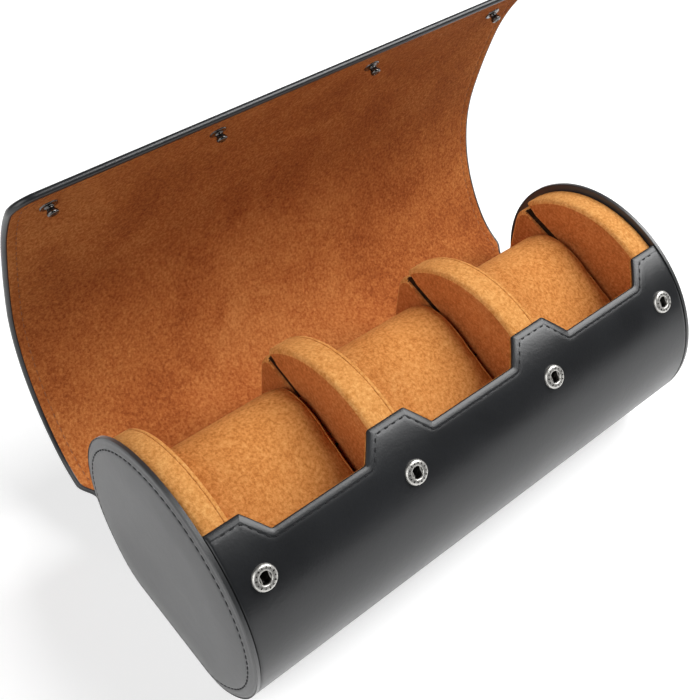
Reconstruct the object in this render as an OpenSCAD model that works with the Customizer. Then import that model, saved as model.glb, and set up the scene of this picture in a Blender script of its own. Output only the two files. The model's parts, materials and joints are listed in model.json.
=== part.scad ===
// Watch travel case: a round-backed leather roll with three cushion bays, shown with its snap flap open.
// X runs along the roll, +Y points to the hinge side and +Z points up.
// The origin is at the middle of the flat underside, and every length is in millimetres.

/* [Body] */
// Length over the two end caps
case_length = 205; // [195:1:215]
// Radius of the round body, to the outside of the leather
body_r = 47;
// Height of the body's round axis above the table
axis_z = 40;
// Radius of the corners beside the flat underside
foot_r = 18;
// Thickness of one end cap
cap_depth = 3;
// Gap between an end cap and the wrapped wall
cap_gap = 0.2;

/* [Layers] */
// Thickness of the leather
leather = 1.1;
// Thickness of the stiffening board in the body wall
board = 1.0;
// Thickness of the suede lining in the body
lining = 0.5;
// Width of leather turned over the edge of the board
turn_in = 1.5;

/* [Scalloped front edge] */
// Angle of the tab tops above the front horizontal
tab_angle = 66.2;
// Angle of the valley floors above the front horizontal
valley_angle = 55.3;
// Half width of the middle valley at its floor
middle_valley = 18;
// Distance from the middle to the inner end of an outer valley's floor
outer_valley_start = 45.4;
// Distance from the middle to the outer end of an outer valley's floor
outer_valley_end = 80.5;
// Run of each sloping side, along the case
valley_slope = 6.3;

/* [Hinge line] */
// Angle below the rear horizontal at which the body wall ends
wall_end_angle = 27.2;
// Angle below the rear horizontal of the flap's hinge line
hinge_angle = 25;
// Distance of the hinge line from the body's axis
hinge_r = 47.2;

/* [Flap] */
// Thickness of the flap
flap_t = 2.4;
// Thickness of the flap's leather
flap_leather_t = 1.1;
// Thickness of the flap's suede lining
flap_lining_t = 0.45;
// Rise of the flap where it leaves the hinge, in degrees
flap_start = -6.5;
// Length of each flap panel along its curve
panel_len = [28, 31, 31, 32, 32];
// Radius of each flap panel's curve, at mid thickness
panel_r = [29, 69, 75, 290, 85];
// Gap between two neighbouring panels
panel_gap = 0.9;
// Radius of the two free corners
corner_r = 8; // [4:1:10]
// Extra radius with which a corner's arc crosses the flap's edges
corner_bite = 0.15;
// Width of turned leather seen around the lining
flap_turn = 2;
// Width of the leather wall around the board
flap_edge = 1.1;
// Length of the narrow root that passes between the end caps
root_len = 6.5;
// Half width of that root
root_half = 99.1;

/* [Snaps] */
// Angle of the sockets above the front horizontal
socket_angle = 42.12;
// Distance of the outer snaps from the middle
snap_outer = 89.4;
// Distance of the inner snaps from the middle
snap_inner = 31.4;
// Outer radius of a socket ring
socket_r = 4.15;
// Height of a socket ring
socket_h = 1.2;
// Outer radius of the eyelet tube that holds the ring
eyelet_r = 2.5;
// Wall of the eyelet tube
eyelet_wall = 0.35;
// Distance of the studs from the flap's free edge
stud_inset = 12;
// Radius of a stud's base
stud_base_r = 3.0;
// Thickness of a stud's base
stud_base_t = 0.5;
// Radius of a stud's neck
neck_r = 1.3;
// Radius of a stud's button
button_r = 1.85;
// Radius of the caps outside the flap
cap_r = 5; // [4:0.25:6]
// Height of the caps outside the flap
cap_h = 1.6; // [1.2:0.1:2]

/* [Dividers] */
// Distance from the middle to the inner face of an end divider
end_divider_x = 89.5;
// Distances from the middle to the two faces of a middle divider
mid_divider_in = 26.2;
mid_divider_out = 37.2;
// Thickness of a divider's suede cover
cover_t = 0.8;
// Thickness of the facing disc on a divider's right side
facing_t = 2;
// Rear edge of a divider below its slot
divider_rear_y = 39.5;
// Radius at the top of that rear edge
divider_nose_r = 6;

/* [Cushion slots] */
// Rise of the slots towards the rear, in degrees
slot_rise = 12;
// A point on the slots' centre line, across and up
slot_point = [25, 62];
// Width of a slot
slot_w = 3.2;
// Depth of a slot into a divider
slot_depth = 4.2;
// Distance of a slot's closed end in front of the middle plane
slot_start = 4;

/* [Cushions] */
// Length of a cushion along the case
cushion_len = 50.5; // [48:0.5:51]
// Height of a cushion's rounded section
cushion_t = 40;
// Width of a cushion's rounded section
cushion_w = 66;
// Slope of a cushion's section, front side lower, in degrees
cushion_tilt = 20;
// Centre of a cushion's section, across and up
cushion_mid = [-1.2, 42.25];
// Thickness of a cushion's suede cover
cushion_cover_t = 1.2;
// Thickness of the spine board
spine_t = 2.6;
// Front and rear edges of the spine board
spine_front = -3;
spine_rear = 17;
// Reach of the spine board's ends into the slots
tongue = 3.9;

/* [Hidden] */
fine = 96;
half = case_length / 2;
wall_half = half - cap_depth - cap_gap;
wall_t = leather + board + lining;
foot_reach = body_r - foot_r;
foot_drop = (axis_z - foot_r) / foot_reach;
foot_y = foot_reach * sqrt(1 - foot_drop * foot_drop);
valley_mid_angle = (tab_angle + valley_angle) / 2;
valley_half = body_r * sin((tab_angle - valley_angle) / 2);
eyelet_flange = [3.4, 0.4];
eyelet_top = body_r + socket_h - 0.15;
board_face = body_r - leather - board;
cushion_centre_gap = cushion_w - cushion_t;
snap_places = [-snap_outer, -snap_inner, snap_inner, snap_outer];
bay_pitch = mid_divider_out + (end_divider_x - mid_divider_out) / 2;
last = len(panel_len) - 1;

// ---- shared shapes ----

// Stands a section drawn across and up, and runs it along the case.
module along(from, to) {
    translate([from, 0, 0])
        rotate([90, 0, 90])
            linear_extrude(to - from)
                children();
}

// The body's section: a round with a flat foot, drawn smaller by an inset.
module body_section(inset) {
    tangent_z = axis_z - (body_r - inset) * foot_drop;
    intersection() {
        translate([0, axis_z]) circle(r = body_r - inset, $fn = fine);
        translate([-body_r - 5, tangent_z]) square([2 * body_r + 10, 2 * body_r + 10]);
    }
    for (side = [-1, 1])
        translate([side * foot_y, foot_r]) circle(r = foot_r - inset, $fn = fine);
    translate([-foot_y, inset]) square([2 * foot_y, tangent_z - inset + 1]);
}

// A wide wedge from the top front edge, round the underside, to the hinge side.
module wrap_wedge(first, final) {
    reach = 2 * body_r;
    steps = 6;
    translate([0, axis_z])
        polygon(concat([[0, 0]], [
            for (i = [0 : steps])
                let (a = first + (final - first) * i / steps)
                [reach * cos(a), reach * sin(a)]
        ]));
}

// A place on the body's outside: local +Z points away from the body's axis.
module on_body(angle, x, r) {
    translate([x, 0, axis_z])
        rotate([90 - angle, 0, 0])
            translate([0, 0, r])
                children();
}

// One valley of the scalloped edge, as a cutter through the wall.
module valley_cutter(floor_from, floor_to, left_slope, right_slope, grow) {
    low = -valley_half - grow;
    slant = grow * 1.2;
    on_body(valley_mid_angle, 0, body_r - 8)
        linear_extrude(12)
            polygon([
                [floor_from - slant, low],
                [floor_to + slant, low],
                [floor_to + right_slope + slant, valley_half],
                [floor_to + right_slope + slant, valley_half + 8],
                [floor_from - left_slope - slant, valley_half + 8],
                [floor_from - left_slope - slant, valley_half]
            ]);
}

// The three valleys of the scalloped edge.
module valleys(grow) {
    valley_cutter(-middle_valley, middle_valley, valley_slope, valley_slope, grow);
    valley_cutter(outer_valley_start, outer_valley_end, valley_slope, valley_slope, grow);
    valley_cutter(-outer_valley_end, -outer_valley_start, valley_slope, valley_slope, grow);
}

// A layer of the body wall between two insets, set back from its free edges.
module wall_layer(from, to, setback, overrun) {
    back_angle = setback / body_r * 180 / PI;
    over_angle = overrun / body_r * 180 / PI;
    difference() {
        along(-wall_half - overrun, wall_half + overrun)
            intersection() {
                difference() {
                    body_section(from);
                    body_section(to);
                }
                wrap_wedge(180 - tab_angle + back_angle, 360 - wall_end_angle + over_angle);
            }
        valleys(setback);
    }
}

// Cylinders through the wall at the four sockets.
module socket_bores(r, from, to) {
    for (x = snap_places)
        on_body(socket_angle, x, from)
            cylinder(r = r, h = to - from, $fn = 48);
}

// ---- body wall ----

module base_leather() {
    color("#2c2f33")
        difference() {
            wall_layer(0, leather + board, 0, 0);
            wall_layer(leather, leather + board + 1, turn_in, 1);
            socket_bores(eyelet_r + 0.05, body_r - 6, body_r + 3);
        }
}

module base_board() {
    color("#8a7458")
        difference() {
            wall_layer(leather, leather + board, turn_in, 0);
            socket_bores(eyelet_r + 0.05, body_r - 6, body_r + 3);
            socket_bores(eyelet_flange[0] + 0.1, body_r - 6, board_face + 0.05 + eyelet_flange[1]);
        }
}

module base_lining() {
    color("#b07a45")
        wall_layer(leather + board, wall_t, 0.4, 0);
}

// ---- end caps ----

module cap_block(side, inset, from, to) {
    low = side < 0 ? -to : from;
    along(low, low + to - from) body_section(inset);
}

module cap_leather(side) {
    color("#33363a")
        difference() {
            cap_block(side, 0, half - cap_depth, half);
            cap_block(side, leather, half - cap_depth - 1, half - leather);
        }
}

module cap_board(side) {
    color("#8a7458")
        cap_block(side, leather, half - cap_depth, half - leather);
}

// ---- dividers ----

// The outline of a divider: round, with the rear edge cut straight below the slot.
module divider_section(inset) {
    mouth_z = slot_point[1] + (divider_rear_y - slot_point[0]) * tan(slot_rise);
    rear = divider_rear_y - inset;
    nose_z = mouth_z - slot_w / 2 - divider_nose_r;
    difference() {
        body_section(wall_t + inset);
        translate([rear, 0]) square([20, mouth_z]);
        difference() {
            translate([rear - divider_nose_r, nose_z]) square([divider_nose_r + 1, divider_nose_r + 1]);
            translate([rear - divider_nose_r, nose_z]) circle(r = divider_nose_r, $fn = 48);
        }
    }
}

// The room of one sliding slot, drawn across and up.
module slot_section(width, from, to) {
    translate(slot_point)
        rotate(slot_rise)
            translate([(from - slot_point[0]) / cos(slot_rise), -width / 2])
                square([(to - from) / cos(slot_rise), width]);
}

// Slots cut into a divider's left and right faces.
module slot_cutters(left_x, right_x, on_left, on_right) {
    if (on_left)
        along(left_x - 1, left_x + slot_depth) slot_section(slot_w, -slot_start, body_r + 8);
    if (on_right)
        along(right_x - slot_depth, right_x + 1) slot_section(slot_w, -slot_start, body_r + 8);
}

module divider_core(left_x, right_x, on_left, on_right) {
    color("#cbb79a")
        difference() {
            along(left_x + (on_left ? cover_t : 0), right_x - (on_right ? facing_t : 0))
                divider_section(cover_t);
            slot_cutters(left_x, right_x, on_left, on_right);
        }
}

module divider_cover(left_x, right_x, on_left, on_right) {
    body_right = right_x - (on_right ? facing_t : 0);
    color("#a9703c")
        difference() {
            along(left_x, body_right) divider_section(0);
            along(left_x + (on_left ? cover_t : -1), body_right + 1) divider_section(cover_t);
            slot_cutters(left_x, right_x, on_left, on_right);
        }
}

module divider_facing(left_x, right_x) {
    color("#9a6233")
        difference() {
            along(right_x - facing_t, right_x) divider_section(0);
            slot_cutters(left_x, right_x, false, true);
        }
}

// ---- snap sockets ----

// A ring with a rounded top edge.
module socket_ring() {
    round_r = 0.5;
    rotate_extrude($fn = 64)
        union() {
            translate([eyelet_r, 0]) square([socket_r - eyelet_r - round_r, socket_h]);
            translate([eyelet_r, 0]) square([socket_r - eyelet_r, socket_h - round_r]);
            translate([socket_r - round_r, socket_h - round_r]) circle(r = round_r, $fn = 32);
        }
}

module snap_sockets() {
    color("#b9b7ae")
        for (x = snap_places)
            on_body(socket_angle, x, body_r) socket_ring();
}

module socket_eyelets() {
    flange_z = board_face + 0.05;
    color("#8f8d86")
        for (x = snap_places)
            on_body(socket_angle, x, flange_z)
                difference() {
                    union() {
                        cylinder(r = eyelet_flange[0], h = eyelet_flange[1], $fn = 48);
                        cylinder(r = eyelet_r, h = eyelet_top - flange_z, $fn = 48);
                    }
                    translate([0, 0, -1]) cylinder(r = eyelet_r - eyelet_wall, h = 9, $fn = 48);
                }
}

// Two straight spring wires across each socket's mouth.
module socket_springs() {
    wire_r = 0.22;
    wire_x = 1.6;
    inside_r = eyelet_r - eyelet_wall;
    wire_len = 2 * sqrt(inside_r * inside_r - pow(wire_x + wire_r, 2));
    color("#55534f")
        for (x = snap_places)
            for (side = [-1, 1])
                on_body(socket_angle, x, body_r + 0.75)
                    translate([side * wire_x, -wire_len / 2, 0])
                        rotate([-90, 0, 0])
                            cylinder(r = wire_r, h = wire_len, $fn = 24);
}

// ---- flap ----

// The flap is a chain of arcs: each starts where the last one ends, in the same direction.
function heading(i) = i == 0 ? flap_start : heading(i - 1) + panel_len[i - 1] / panel_r[i - 1] * 180 / PI;
function panel_start(i) = i == 0
    ? [hinge_r * cos(hinge_angle), axis_z - hinge_r * sin(hinge_angle)]
    : panel_centre(i - 1) + panel_r[i - 1] * [sin(heading(i)), -cos(heading(i))];
function panel_centre(i) = panel_start(i) + panel_r[i] * [-sin(heading(i)), cos(heading(i))];

// A place on panel i at a distance along its curve: local Y runs to the free edge, local +Z points inside.
module on_flap(i, distance, x) {
    turn = heading(i) + distance / panel_r[i] * 180 / PI;
    place = panel_centre(i) + panel_r[i] * [sin(turn), -cos(turn)];
    translate([x, place[0], place[1]])
        rotate([turn, 0, 0])
            children();
}

// A curved band of panel i between two depths from its outside, and between two distances along it.
module panel_band(i, from_depth, to_depth, from, to) {
    outside = panel_r[i] + flap_t / 2;
    first = heading(i) - 90 + from / panel_r[i] * 180 / PI;
    final = heading(i) - 90 + to / panel_r[i] * 180 / PI;
    reach = outside * 1.5;
    translate(panel_centre(i))
        intersection() {
            difference() {
                circle(r = outside - from_depth, $fn = 180);
                circle(r = outside - to_depth, $fn = 180);
            }
            polygon([[0, 0], [reach * cos(first), reach * sin(first)], [reach * cos(final), reach * sin(final)]]);
        }
}

// What is cut from the last panel to round one free corner.
module corner_cutter(edge_half, end, r) {
    for (side = [-1, 1])
        on_flap(last, end - r, side * (edge_half - r))
            translate([0, 0, -5])
                linear_extrude(10)
                    difference() {
                        translate([side > 0 ? 0 : -r - 3, 0]) square([r + 3, r + 3]);
                        circle(r = r + corner_bite, $fn = 48);
                    }
}

// One layer of panel i, as far out as edge_half, stopping short of the free edge by inset.
module panel_layer(i, from_depth, to_depth, edge_half, inset, overrun) {
    start = panel_gap / 2 - overrun;
    end = i == last ? panel_len[i] - inset : panel_len[i] - panel_gap / 2 + overrun;
    difference() {
        along(-edge_half, edge_half) panel_band(i, from_depth, to_depth, start, end);
        if (i == 0)
            for (side = [-1, 1])
                translate([side > 0 ? 0 : -2 * root_half - 20, 0, 0])
                    along(root_half, root_half + 20) panel_band(0, -1, flap_t + 1, -3, root_len);
        if (i == last)
            corner_cutter(edge_half, end, corner_r - inset);
    }
}

// Cylinders through the flap at the four studs.
module stud_bores(r) {
    for (x = snap_places)
        on_flap(last, panel_len[last] - stud_inset, x)
            translate([0, 0, -4]) cylinder(r = r, h = 8, $fn = 32);
}

// Flat seats pressed into the lining under the studs' bases.
module stud_seats(r) {
    for (x = snap_places)
        on_flap(last, panel_len[last] - stud_inset, x)
            translate([0, 0, flap_t / 2 - 0.005]) cylinder(r = r, h = 2, $fn = 64);
}

module flap_leather(i) {
    board_depth = flap_t - flap_lining_t;
    color("#26282c")
        difference() {
            panel_layer(i, 0, flap_t, half, 0, 0);
            panel_layer(i, flap_leather_t, board_depth, half - flap_edge, flap_edge, 1);
            panel_layer(i, board_depth - 0.01, flap_t + 1, half - flap_turn, flap_turn, 1);
            if (i == last)
                stud_bores(1.1);
        }
}

module flap_board(i) {
    color("#8a7458")
        difference() {
            panel_layer(i, flap_leather_t, flap_t - flap_lining_t, half - flap_edge, flap_edge, 0);
            if (i == last)
                stud_bores(1.1);
        }
}

module flap_lining(i) {
    color("#8d5a2c")
        difference() {
            panel_layer(i, flap_t - flap_lining_t, flap_t, half - flap_turn, flap_turn, 0);
            if (i == last) {
                stud_bores(1.1);
                stud_seats(stud_base_r + 0.1);
            }
        }
}

// A stud: flat base, neck and rounded button, with a bore for the cap's post.
module stud() {
    button_t = 1.5;
    button_z = 1.35;
    edge = button_t / 2;
    difference() {
        union() {
            cylinder(r = stud_base_r, h = stud_base_t, $fn = 64);
            cylinder(r = neck_r, h = stud_base_t + button_z, $fn = 48);
            translate([0, 0, stud_base_t + button_z - 0.05])
                rotate_extrude($fn = 64)
                    union() {
                        square([button_r - edge, button_t]);
                        translate([button_r - edge, edge]) circle(r = edge, $fn = 32);
                    }
        }
        translate([0, 0, -1]) cylinder(r = 1.0, h = 2.8, $fn = 32);
    }
}

module snap_studs() {
    color("#3a3835")
        for (x = snap_places)
            on_flap(last, panel_len[last] - stud_inset, x)
                translate([0, 0, flap_t / 2]) stud();
}

// A low domed cap with the post that holds the stud.
module stud_cap() {
    dome_r = (cap_r * cap_r + cap_h * cap_h) / (2 * cap_h);
    intersection() {
        translate([0, 0, dome_r - cap_h]) sphere(r = dome_r, $fn = 96);
        translate([0, 0, -cap_h]) cylinder(r = cap_r - 0.1, h = cap_h, $fn = 64);
    }
    translate([0, 0, -0.2]) cylinder(r = 0.95, h = 0.2 + flap_t + 1.7, $fn = 32);
}

module stud_caps() {
    color("#b9b7ae")
        for (x = snap_places)
            on_flap(last, panel_len[last] - stud_inset, x)
                translate([0, 0, -flap_t / 2 - 0.02]) stud_cap();
}

// ---- cushions ----

// A cushion's rounded section, drawn smaller by an inset.
module cushion_section(inset) {
    r = cushion_t / 2 - inset;
    translate(cushion_mid)
        rotate(cushion_tilt)
            union() {
                for (side = [-1, 1])
                    translate([side * cushion_centre_gap / 2, 0]) circle(r = r, $fn = fine);
                translate([-cushion_centre_gap / 2, -r]) square([cushion_centre_gap, 2 * r]);
            }
}

module spine_block(x, half_len, room) {
    along(x - half_len, x + half_len) slot_section(spine_t + room, spine_front, spine_rear);
}

module cushion_cover(x) {
    color("#b5793f")
        difference() {
            along(x - cushion_len / 2, x + cushion_len / 2) cushion_section(0);
            along(x - cushion_len / 2 + cushion_cover_t, x + cushion_len / 2 - cushion_cover_t)
                cushion_section(cushion_cover_t);
            spine_block(x, cushion_len, 0);
        }
}

module cushion_core(x) {
    color("#e3d8c4")
        difference() {
            along(x - cushion_len / 2 + cushion_cover_t, x + cushion_len / 2 - cushion_cover_t)
                cushion_section(cushion_cover_t);
            spine_block(x, cushion_len, 0);
        }
}

module cushion_spine(x) {
    bay = end_divider_x - mid_divider_out;
    color("#7d6a50")
        spine_block(x, bay / 2 + tongue, 0);
}

// ---- nodes ----

base_leather();
base_board();
base_lining();
cap_leather(-1);  // left_cap_leather
cap_board(-1);  // left_cap_board
cap_leather(1);  // right_cap_leather
cap_board(1);  // right_cap_board
divider_core(-half + cap_depth, -end_divider_x, false, true);  // left_end_divider_core
divider_cover(-half + cap_depth, -end_divider_x, false, true);  // left_end_divider_cover
divider_facing(-half + cap_depth, -end_divider_x);  // left_end_divider_facing
divider_core(-mid_divider_out, -mid_divider_in, true, true);  // left_mid_divider_core
divider_cover(-mid_divider_out, -mid_divider_in, true, true);  // left_mid_divider_cover
divider_facing(-mid_divider_out, -mid_divider_in);  // left_mid_divider_facing
divider_core(mid_divider_in, mid_divider_out, true, true);  // right_mid_divider_core
divider_cover(mid_divider_in, mid_divider_out, true, true);  // right_mid_divider_cover
divider_facing(mid_divider_in, mid_divider_out);  // right_mid_divider_facing
divider_core(end_divider_x, half - cap_depth, true, false);  // right_end_divider_core
divider_cover(end_divider_x, half - cap_depth, true, false);  // right_end_divider_cover
snap_sockets();
socket_springs();
socket_eyelets();
flap_leather(0);  // flap_leather_1
flap_leather(1);  // flap_leather_2
flap_leather(2);  // flap_leather_3
flap_leather(3);  // flap_leather_4
flap_leather(4);  // flap_leather_5
flap_board(0);  // flap_board_1
flap_board(1);  // flap_board_2
flap_board(2);  // flap_board_3
flap_board(3);  // flap_board_4
flap_board(4);  // flap_board_5
flap_lining(0);  // flap_lining_1
flap_lining(1);  // flap_lining_2
flap_lining(2);  // flap_lining_3
flap_lining(3);  // flap_lining_4
flap_lining(4);  // flap_lining_5
snap_studs();
stud_caps();
cushion_cover(-bay_pitch);  // left_cushion_cover
cushion_core(-bay_pitch);  // left_cushion_core
cushion_spine(-bay_pitch);  // left_cushion_spine
cushion_cover(0);  // middle_cushion_cover
cushion_core(0);  // middle_cushion_core
cushion_spine(0);  // middle_cushion_spine
cushion_cover(bay_pitch);  // right_cushion_cover
cushion_core(bay_pitch);  // right_cushion_core
cushion_spine(bay_pitch);  // right_cushion_spine
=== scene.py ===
"""The looks of a leather watch travel case: black leather outside, tan suede inside.

Lengths are in millimetres, and meshes are turned into metres when they are made.
X runs along the case, +Y points to the hinge side and +Z points up.
"""

import functools
import json
import logging
import math
from dataclasses import dataclass, field
from enum import Enum
from typing import Callable, Sequence

import bmesh
import bpy
import numpy as np
from mathutils import Matrix, Vector
from mathutils.bvhtree import BVHTree


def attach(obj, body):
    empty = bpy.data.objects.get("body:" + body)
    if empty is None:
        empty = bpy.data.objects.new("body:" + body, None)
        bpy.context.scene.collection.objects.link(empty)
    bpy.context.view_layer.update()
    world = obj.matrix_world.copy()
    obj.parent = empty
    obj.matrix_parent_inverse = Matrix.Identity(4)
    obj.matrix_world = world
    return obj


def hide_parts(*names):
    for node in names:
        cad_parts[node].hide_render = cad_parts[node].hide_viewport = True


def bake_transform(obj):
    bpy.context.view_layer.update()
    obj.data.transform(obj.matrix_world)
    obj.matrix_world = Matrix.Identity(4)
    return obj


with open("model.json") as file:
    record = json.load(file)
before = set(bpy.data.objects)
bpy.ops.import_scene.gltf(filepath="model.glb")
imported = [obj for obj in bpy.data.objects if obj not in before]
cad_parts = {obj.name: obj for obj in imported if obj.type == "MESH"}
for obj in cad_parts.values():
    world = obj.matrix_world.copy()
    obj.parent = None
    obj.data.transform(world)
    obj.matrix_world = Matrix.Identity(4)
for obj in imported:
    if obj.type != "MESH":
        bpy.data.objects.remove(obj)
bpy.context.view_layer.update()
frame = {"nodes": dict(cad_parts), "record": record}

MM = 0.001
NEAR = 1e-9
CUT_SHARP_DEG = 35.0
LOG = logging.getLogger("watch_case")

Array = np.ndarray
Pair = tuple[float, float]
Colour = tuple[float, float, float]
Triple = tuple[float, float, float]
Socket = bpy.types.NodeSocket
Piece = bpy.types.Object


# ---------------------------------------------------------------- finishes


class Graph:
    """A short way to build one material's nodes."""

    def __init__(self, name: str) -> None:
        """Starts an empty material with its output and shader.

        Args:
            name: The material's name.
        """
        self.material = bpy.data.materials.new(name)
        self.material.use_nodes = True
        self.tree = self.material.node_tree
        self.tree.nodes.clear()
        self.output = self.tree.nodes.new("ShaderNodeOutputMaterial")
        self.shader = self.tree.nodes.new("ShaderNodeBsdfPrincipled")
        self.link(self.shader.outputs["BSDF"], self.output.inputs["Surface"])
        self.coordinates = self.tree.nodes.new("ShaderNodeTexCoord").outputs["Object"]

    def link(self, source: Socket, target: Socket) -> None:
        """Joins two sockets."""
        self.tree.links.new(source, target)

    def set(self, **values: float | tuple) -> None:
        """Sets the shader's own sockets; an underscore in a name stands for a space."""
        for name, value in values.items():
            self.shader.inputs[name.replace("_", " ")].default_value = value

    def stretched(self, scale: Triple) -> Socket:
        """Object coordinates, scaled along each axis.

        Args:
            scale: The factor along X, Y and Z.

        Returns:
            The scaled coordinates.
        """
        node = self.tree.nodes.new("ShaderNodeMapping")
        node.inputs["Scale"].default_value = scale
        self.link(self.coordinates, node.inputs["Vector"])
        return node.outputs["Vector"]

    def noise(self, size_mm: float, detail: float = 2.0, rough: float = 0.5, distort: float = 0.0,
              vector: Socket | None = None) -> Socket:
        """A noise whose features are about size_mm across.

        Args:
            size_mm: The size of its features.
            detail: How many finer layers it has.
            rough: How strong the finer layers are.
            distort: How much it is warped.
            vector: The coordinates to use in place of the object's own.

        Returns:
            The noise value, from 0 to 1.
        """
        node = self.tree.nodes.new("ShaderNodeTexNoise")
        node.inputs["Scale"].default_value = 1.0 / (size_mm * MM)
        node.inputs["Detail"].default_value = detail
        node.inputs["Roughness"].default_value = rough
        node.inputs["Distortion"].default_value = distort
        self.link(vector or self.coordinates, node.inputs["Vector"])
        return node.outputs["Fac"]

    def cells(self, size_mm: float, vector: Socket | None = None) -> Socket:
        """Distance to the nearest of scattered points.

        Args:
            size_mm: About how far apart they are.
            vector: The coordinates to use in place of the object's own.

        Returns:
            The distance, as a share of their spacing.
        """
        node = self.tree.nodes.new("ShaderNodeTexVoronoi")
        node.inputs["Scale"].default_value = 1.0 / (size_mm * MM)
        self.link(vector or self.coordinates, node.inputs["Vector"])
        return node.outputs["Distance"]

    def math(self, kind: str, a: Socket | float, b: Socket | float = 0.0,
             clamp: bool = False) -> Socket:
        """One sum of two values or sockets.

        Args:
            kind: The sum's name, such as MULTIPLY.
            a: The first value.
            b: The second value.
            clamp: Whether the result is held between 0 and 1.

        Returns:
            The result.
        """
        node = self.tree.nodes.new("ShaderNodeMath")
        node.operation = kind
        node.use_clamp = clamp
        for socket, value in zip(node.inputs, (a, b)):
            if isinstance(value, Socket):
                self.link(value, socket)
            else:
                socket.default_value = value
        return node.outputs[0]

    def weighted(self, start: float, *terms: tuple[Socket, float]) -> Socket:
        """Adds noises to a value.

        Args:
            start: The value that they are added to.
            *terms: Noises with their weights; a half is taken off each noise first.

        Returns:
            The sum, held between 0 and 1.
        """
        total: Socket | float = start
        for value, weight in terms:
            total = self.math("ADD", total, self.math("MULTIPLY", self.math("SUBTRACT", value, 0.5), weight))
        return self.math("ADD", total, 0.0, clamp=True)

    def ramp(self, factor: Socket, stops: Sequence[tuple[float, Colour]]) -> Socket:
        """Colours along a factor.

        Args:
            factor: The place along the ramp.
            stops: Places with their colours, in order.

        Returns:
            The colour.
        """
        node = self.tree.nodes.new("ShaderNodeValToRGB")
        elements = node.color_ramp.elements
        while len(elements) < len(stops):
            elements.new(0.5)
        for element, (place, colour) in zip(elements, stops):
            element.position = place
            element.color = (*colour, 1.0)
        self.link(factor, node.inputs["Fac"])
        return node.outputs["Color"]

    def range(self, value: Socket, low: float, high: float) -> Socket:
        """value from 0..1 mapped to low..high."""
        return self.math("ADD", self.math("MULTIPLY", value, high - low), low)

    def bump(self, layers: Sequence[tuple[Socket, float]]) -> None:
        """Adds relief to the shader.

        Args:
            layers: Height values with the depth of each in millimetres.
        """
        previous = None
        for height, depth_mm in layers:
            node = self.tree.nodes.new("ShaderNodeBump")
            node.inputs["Strength"].default_value = 1.0
            node.inputs["Distance"].default_value = depth_mm * MM
            self.link(height, node.inputs["Height"])
            if previous is not None:
                self.link(previous, node.inputs["Normal"])
            previous = node.outputs["Normal"]
        if previous is not None:
            self.link(previous, self.shader.inputs["Normal"])


@dataclass(frozen=True)
class LeatherFinish:
    """Smooth coated leather with a fine pebble and a soft, wide gloss."""

    name: str
    dark: Colour = (0.0120, 0.0125, 0.0135)
    light: Colour = (0.022, 0.0235, 0.026)
    gloss_low: float = 0.27
    gloss_high: float = 0.38
    mirror: float = 0.5
    bloom: float = 0.0
    pebble_mm: float = 0.75
    pebble_depth_mm: float = 0.012
    crease_mm: float = 9.0

    def build(self) -> bpy.types.Material:
        """Makes the material.

        Returns:
            The finished material.
        """
        g = Graph(self.name)
        broad = g.noise(28.0, 3.0, 0.5, 0.4)
        fine = g.noise(0.9, 3.0, 0.55)
        pebble = g.cells(self.pebble_mm)
        crease = g.noise(self.crease_mm, 4.0, 0.6, 1.2)
        tone = g.weighted(0.42, (broad, 0.9), (fine, 0.25), (pebble, 0.18))
        g.link(g.ramp(tone, ((0.0, self.dark), (1.0, self.light))), g.shader.inputs["Base Color"])
        rub = g.weighted(0.5, (broad, 1.2), (fine, 0.35), (crease, 0.5))
        g.link(g.range(rub, self.gloss_low, self.gloss_high), g.shader.inputs["Roughness"])
        g.set(Specular_IOR_Level=self.mirror, IOR=1.5, Sheen_Weight=self.bloom, Sheen_Roughness=0.35)
        g.bump(((crease, 0.05), (fine, 0.008), (pebble, self.pebble_depth_mm)))
        return g.material


@dataclass(frozen=True)
class SuedeFinish:
    """Brushed suede: a short nap with clouds, flecks and a soft sheen."""

    name: str
    deep: Colour
    middle: Colour
    pale: Colour
    cloud_mm: float = 26.0
    cloud: float = 0.55
    mottle_mm: float = 2.6
    mottle: float = 0.5
    fleck_mm: float = 0.95
    fleck: float = 1.7
    brushed: Triple = (1.0, 0.8, 0.9)
    nap_depth_mm: float = 0.16
    sheen: float = 0.10

    def build(self) -> bpy.types.Material:
        """Makes the material.

        Returns:
            The finished material.
        """
        g = Graph(self.name)
        along = g.stretched(self.brushed)
        cloud = g.noise(self.cloud_mm, 3.0, 0.55, 0.8, along)
        mottle = g.noise(self.mottle_mm, 4.0, 0.6, 0.5)
        fleck = g.noise(self.fleck_mm, 3.0, 0.7, 0.2, along)
        nap = g.noise(self.fleck_mm * 0.45, 2.0, 0.6, 0.0, along)
        tone = g.weighted(0.5, (cloud, self.cloud), (mottle, self.mottle), (fleck, self.fleck))
        g.link(
            g.ramp(tone, ((0.12, self.deep), (0.5, self.middle), (0.9, self.pale))),
            g.shader.inputs["Base Color"],
        )
        g.link(g.range(mottle, 0.82, 0.98), g.shader.inputs["Roughness"])
        g.set(Specular_IOR_Level=0.05, Sheen_Weight=self.sheen, Sheen_Roughness=0.45,
              Sheen_Tint=(1.0, 0.55, 0.22, 1.0))
        g.bump(((mottle, 0.16), (fleck, self.nap_depth_mm), (nap, self.nap_depth_mm * 0.5)))
        return g.material


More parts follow.
